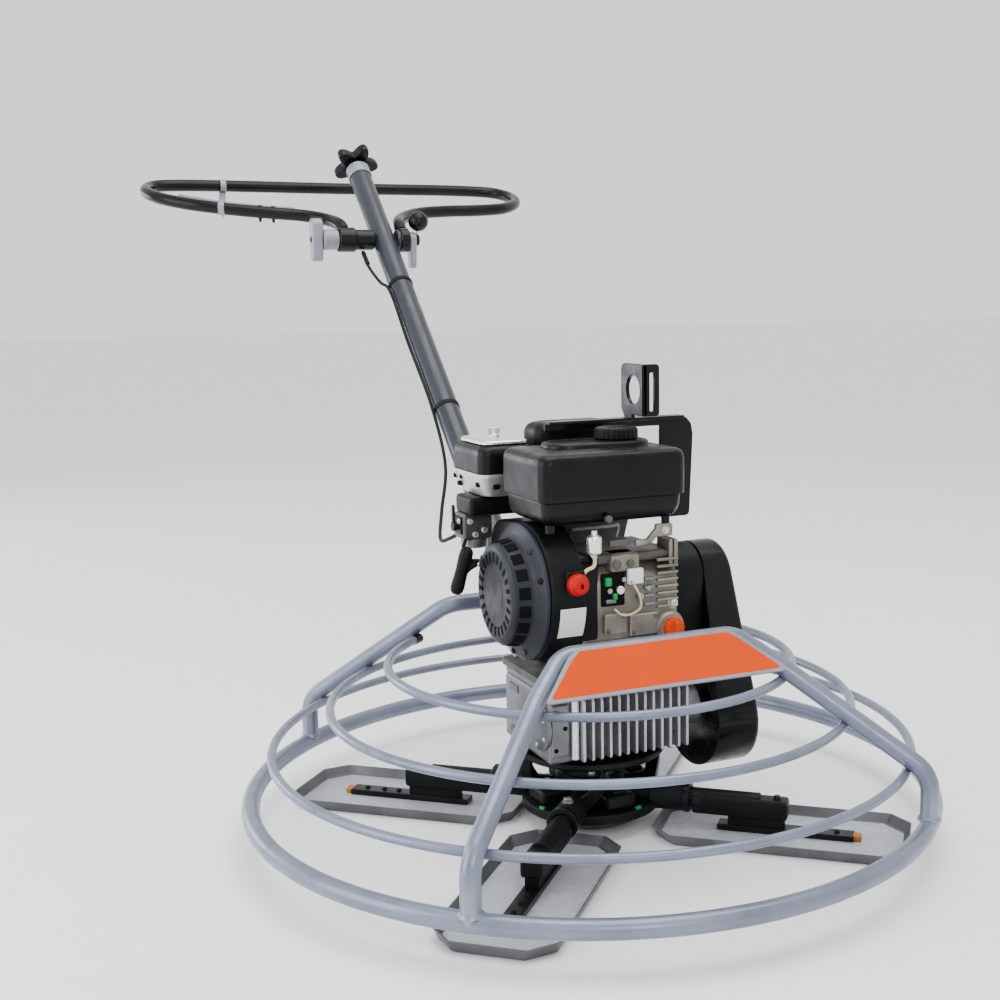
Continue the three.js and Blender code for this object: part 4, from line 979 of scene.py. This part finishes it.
# the clamp bracket that joins the loop's two left tubes
near, far = loop_point(-285, 1093), loop_point(-242, 1300)
for end, side in ((near, V((1, -0.4, 0)).normalized()), (far, X)):
    piece.add(sleeve(end - side * 6, end + side * 6, 14.2, 12.35, 36), EDGING)
    piece.add(rod(end - LOOP_NORMAL * 21, end - LOOP_NORMAL * 12.5, 4, 16), ZINC)
run = (far - near).normalized()
reach = (far - near).length
strap_frame = shift(near) @ Matrix((run.cross(LOOP_NORMAL), run, LOOP_NORMAL)).transposed().to_4x4()
piece.add(slab(rounded([(-7, 6), (7, 6), (7, reach - 6), (-7, reach - 6)], 2), 3,
               strap_frame @ shift((0, 0, -14.4)), 0.8), EDGING)
for at in (loop_point(-215, 1067), loop_point(-190, 1060)):
    piece.add(sleeve(at - V((4, -1.2, 0)), at + V((4, -1.2, 0)), 13.6, 12.35, 32, 0.6), SATIN)
    piece.add(rod(at - Z * 20, at - Z * 12.6, 3, 14), SATIN)

piece = Piece("deadman_piece", "deadman", "zinc_plate", "deadman_lever")
pivot = loop_point(-150, 1084)
lever_path = [pivot, loop_point(-215, 1104), loop_point(-300, 1146), loop_point(-352, 1190)]
piece.add(rod(pivot - LOOP_NORMAL * 6, pivot + LOOP_NORMAL * 6, 8.8, 28, 1), EDGING)
piece.add(sweep(bent(lever_path, (120, 120)), 5.9, 18), EDGING)


def wing_outline(above, below, half):
    top, foot = CROSS.z + above - half, CROSS.z - below + half * 0.7
    return arc((CROSS.y, top), half, 0, 180, 14) + arc((CROSS.y, foot), half * 0.7, 180, 360, 12)


for name, body, x, depth, above, below in (("clamp_wing_left", "wing_left", -148, 21.5, 41, 42),
                                           ("clamp_wing_right", "wing_right", 50.5, 13.5, 16, 56)):
    piece = Piece(name + "_piece", body, "zinc_plate", name)
    piece.add(slab(wing_outline(above, below, 15), depth, at_x(x), 3.2, steps=4), EDGING)
    if body == "wing_left":
        piece.add(rod(on_cross(x + 0.6), on_cross(x), 7, 24, 0.2), ZINC)

piece = Piece("throttle_piece", "throttle", "black_plastic", "throttle_lever")
piece.add(lathe(eased([(11, 0), (11, 6.4)], 1), on_cross(64.6), on_cross(71), 32), SATIN)
piece.add(rod((68, CROSS.y, CROSS.z), (71, CROSS.y, CROSS.z + 22), 3.2, 16), ZINC)
ball = [(20 * math.sin(math.radians(9 * i)), -20 * math.cos(math.radians(9 * i))) for i in range(1, 20)]
piece.add(lathe(ball, (72, CROSS.y, CROSS.z + 37), (72, CROSS.y, CROSS.z + 42)), GLOSS)

piece = Piece("throttle_cable_piece", "chassis", "black_rubber", "throttle_cable")
beside = [on_handle(s) + V((-27, 0, 0)) for s in (950, 800, 620)]
cable_points = [(-46, 926, 796), (-44, 896, 766), (-32, 858, 734), *beside, (-36, 500, 415), (-80, 400, 350),
                (-118, 300, 322), (-132, 220, 336), (-130, 152.5, 360)]
piece.add(sweep(spline(cable_points, 14), 3, 14), RUBBER)
piece.add(rod((-46, 924, 794), (-44, 900, 770), 4.6, 18), SATIN)

# ---- rotor, arms and blades
BLADE_ANGLES = (-131, -41, 49, 139)
ARM_Z = -13
FLOOR = -58 - ARM_Z
piece = Piece("spider_hub_piece", "rotor", "black_paint", "spider_hub")
HUB_PROFILE = [(12.9, -50), (70, -50), (101, -32), (101, -20), (50, -12), (50, 20), (12.9, 20)]
piece.add(lathe(eased(HUB_PROFILE, 2), (0, 0, 0), Z, 72), SATIN)
for degrees in BLADE_ANGLES:
    turn, between = about_z(degrees), about_z(degrees + 45)
    piece.add(sleeve((92, 0, ARM_Z), (150, 0, ARM_Z), 21, 14.5, 36, 1.4), SATIN, turn)
    piece.add(sleeve((140, 0, ARM_Z), (149.8, 0, ARM_Z), 22.6, 14.5, 36, 1.4), GLOSS, turn)
    piece.bolt(turn @ V((118, 0, ARM_Z + 20.6)), Z, 6, 5, STEEL)
    piece.bolt(turn @ V((36, 12, 20)), Z, 5, 4, STEEL)
    piece.each(block, SATIN, ((48, -24, -18), (92, 24, 4), 7), ((60, -10, 2), (84, 10, 9), 3), turn=between)
    piece.bolt(between @ V((72, 0, 8.6)), Z, 5, 4, STEEL)
    piece.add(block((94, -5, -22), (99, 5, -16), 1.5), GREEN, about_z(degrees + 60))

LEVER = rounded([(-4, -9), (10, -12), (26, 4), (50, 36), (48, 56), (45, 58), (41, 56), (37, 40), (4, 12)],
                [2, 3, 6, 5, 3, 2, 3, 8, 3])
BAR_FLOOR = FLOOR + 3.3
# how far each ring of a blade lies outside its nominal outline, and its height
TRAY = [(-1.2, 0), (-0.3, 0.5), (0.6, 1.6), (5.4, 14.8), (5.8, 15.8), (5.2, 16), (4.2, 15.9), (3.6, 15.2),
        (-1.0, 4.6), (-2.6, 3)]
TRAY_FLOOR = [(-4.5, 2.6), (-4.0, 3.0), (-4.6, 3.2)]


def octagon(spread, height, radius):
    half, c = 75 + spread, 30
    inner, outer = 110 - spread, 452 + spread
    right = [(inner, c - half), (inner + c, -half), (outer - c, -half), (outer, c - half)]
    outline = right + [(x, -y) for x, y in reversed(right)]
    return [V((*p, FLOOR + height)) for p in rounded(outline, radius, 5)]


for index, degrees in enumerate(BLADE_ANGLES, start=1):
    turn = about_z(degrees) @ shift((0, 0, ARM_Z))
    body = "arm_%d" % index
    piece = Piece("trowel_arm_%d_piece" % index, body, "black_paint", "trowel_arm_%d" % index)
    piece.add(rod((58, 0, 0), (250, 0, 0), 14, 32), SATIN, turn)
    piece.add(block((153, -15, -20), (290, 15, 8), 5), SATIN, turn)
    piece.add(sleeve((154, 0, -4), (168, 0, -4), 17, 13, 32, 1), GLOSS, turn)
    for x in (226, 274):
        piece.bolt(turn @ V((x, 0, 7.6)), Z, 5, 4, GLOSS)
    piece.add(slab(LEVER, 18, at_x(76), 1.6), SATIN, turn)
    piece.add(rod((85, 44, 52), (85, 44.9, 57.4), 4.2, 16), GREEN if index % 2 else STEEL, turn)

    piece = Piece("blade_bar_%d_piece" % index, body, "black_paint", "blade_bar_%d" % index)
    piece.add(block((205, -10, BAR_FLOOR), (285, 10, -20.3), 1.6), SATIN, turn)
    piece.add(block((190, -12.4, BAR_FLOOR), (382, 12.4, BAR_FLOOR + 8.8), 1.6), GLOSS, turn)
    piece.add(block((379, -8, BAR_FLOOR + 0.2), (392, 8, BAR_FLOOR + 8.6), 2.2), END_PLUG, turn)
    for x in (306, 330, 358):
        piece.bolt(turn @ V((x, 0, BAR_FLOOR + 8.6)), Z, 3.2, 2, SATIN)

    piece = Piece("blade_%d_piece" % index, body, "bare_steel", "blade_%d" % index)
    # the rim in the darker lip steel, which is painted shade; the floor in the plain blade steel
    piece.add(loft([octagon(spread, z, 7) for spread, z in TRAY]), SHADED_BLADE_LIP, turn)
    piece.add(loft([octagon(spread, z, 6) for spread, z in TRAY_FLOOR]), BLADE_STEEL, turn)

# ---- pressure dish
piece = Piece("pressure_plate_piece", "plate", "black_paint", "pressure_plate")
DISH = [(19, 46.7), (96, 46.7), (105, 48.2), (107.8, 51), (108, 57.4), (106.6, 58), (103, 57.8), (101.6, 56),
        (96, 51), (40, 50.4), (19, 50.4), (19, 46.7)]
bm = loft([circle(r, z, 72) for r, z in DISH], caps=False)
bmesh.ops.remove_doubles(bm, verts=bm.verts, dist=1e-4)
piece.add(bm, SATIN)

for piece in pieces:
    piece.build()

# ---- nodes that stay as they are
FINISHES = {"drive_belt": (RUBBER, "black_rubber"), "thrust_collar": (MACHINED, "bare_steel"),
            "worm_wheel": (DARK_CAST, "bare_steel")}
for node in ("pull_rod", "pitch_yoke", "output_shaft", "worm_shaft", "gearbox_pulley", "crankshaft",
             "clutch_pulley"):
    FINISHES[node] = (STEEL, "bare_steel")
for node, (material, slot) in FINISHES.items():
    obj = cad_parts[node]
    obj.data.materials.clear()
    obj.data.materials.append(material)

# ---- stage, light and camera
floor_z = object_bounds()[0][2]
floor_mesh = bpy.data.meshes.new("floor")
bm = bmesh.new()
bmesh.ops.create_grid(bm, x_segments=8, y_segments=8, size=30)
bmesh.ops.translate(bm, vec=(0, 0, floor_z - 0.0005), verts=bm.verts)
bm.to_mesh(floor_mesh)
bm.free()
floor = bpy.data.objects.new("floor", floor_mesh)
bpy.context.scene.collection.objects.link(floor)
floor_finish = surface("studio_floor", "f4f4f4", 0.6, grain=40, bump=0.01, stain=0.004, rough_spread=0.04)
floor_mesh.materials.append(floor_finish)

world = bpy.data.worlds.new("studio")
bpy.context.scene.world = world
world.use_nodes = True
world.node_tree.nodes["Background"].inputs["Color"].default_value = (1, 1, 1, 1)
world.node_tree.nodes["Background"].inputs["Strength"].default_value = 1.3


def softbox(name, place, target, size, power, colour=(1, 1, 1)):
    light = bpy.data.lights.new(name, "AREA")
    light.shape = "RECTANGLE"
    light.size, light.size_y = size
    light.energy = power
    light.color = colour
    obj = bpy.data.objects.new(name, light)
    obj.location = place
    obj.rotation_euler = (V(target) - V(place)).to_track_quat("-Z", "Y").to_euler()
    bpy.context.scene.collection.objects.link(obj)


MIDDLE = (0, 0, 0.45)
softbox("top_light", (0.2, -0.4, 3.2), MIDDLE, (2.4, 2.4), 90)
softbox("left_light", (-2.8, -0.2, 1.3), MIDDLE, (1.8, 2.2), 60, (0.9, 0.93, 1))
softbox("sheen_light", (-2.2, 3.0, 0.9), MIDDLE, (1.6, 1.2), 40, (0.86, 0.9, 1))
softbox("front_light", (-0.6, -3.2, 1.7), MIDDLE, (1.2, 1.2), 24)

CAMERA_AT = V((-833, -1754, 701))
AZIMUTH, ELEVATION, ROLL = math.radians(24.5), math.radians(8.5), math.radians(-0.77)
ahead = V((math.sin(AZIMUTH), math.cos(AZIMUTH), 0))
forward = ahead * math.cos(ELEVATION) - Z * math.sin(ELEVATION)
level = forward.cross(Z).normalized()
above = level.cross(forward)
right = level * math.cos(ROLL) + above * math.sin(ROLL)
upward = above * math.cos(ROLL) - level * math.sin(ROLL)
camera = bpy.data.cameras.new("camera")
camera.lens = 49.51
camera.sensor_width = 36
camera.shift_x = -0.066
camera.shift_y = 0.003
camera_object = bpy.data.objects.new("camera", camera)
turn = Matrix((right, upward, -forward)).transposed().to_4x4()
camera_object.matrix_world = shift(TO_FRAME @ CAMERA_AT) @ turn
bpy.context.scene.collection.objects.link(camera_object)
bpy.context.scene.camera = camera_object
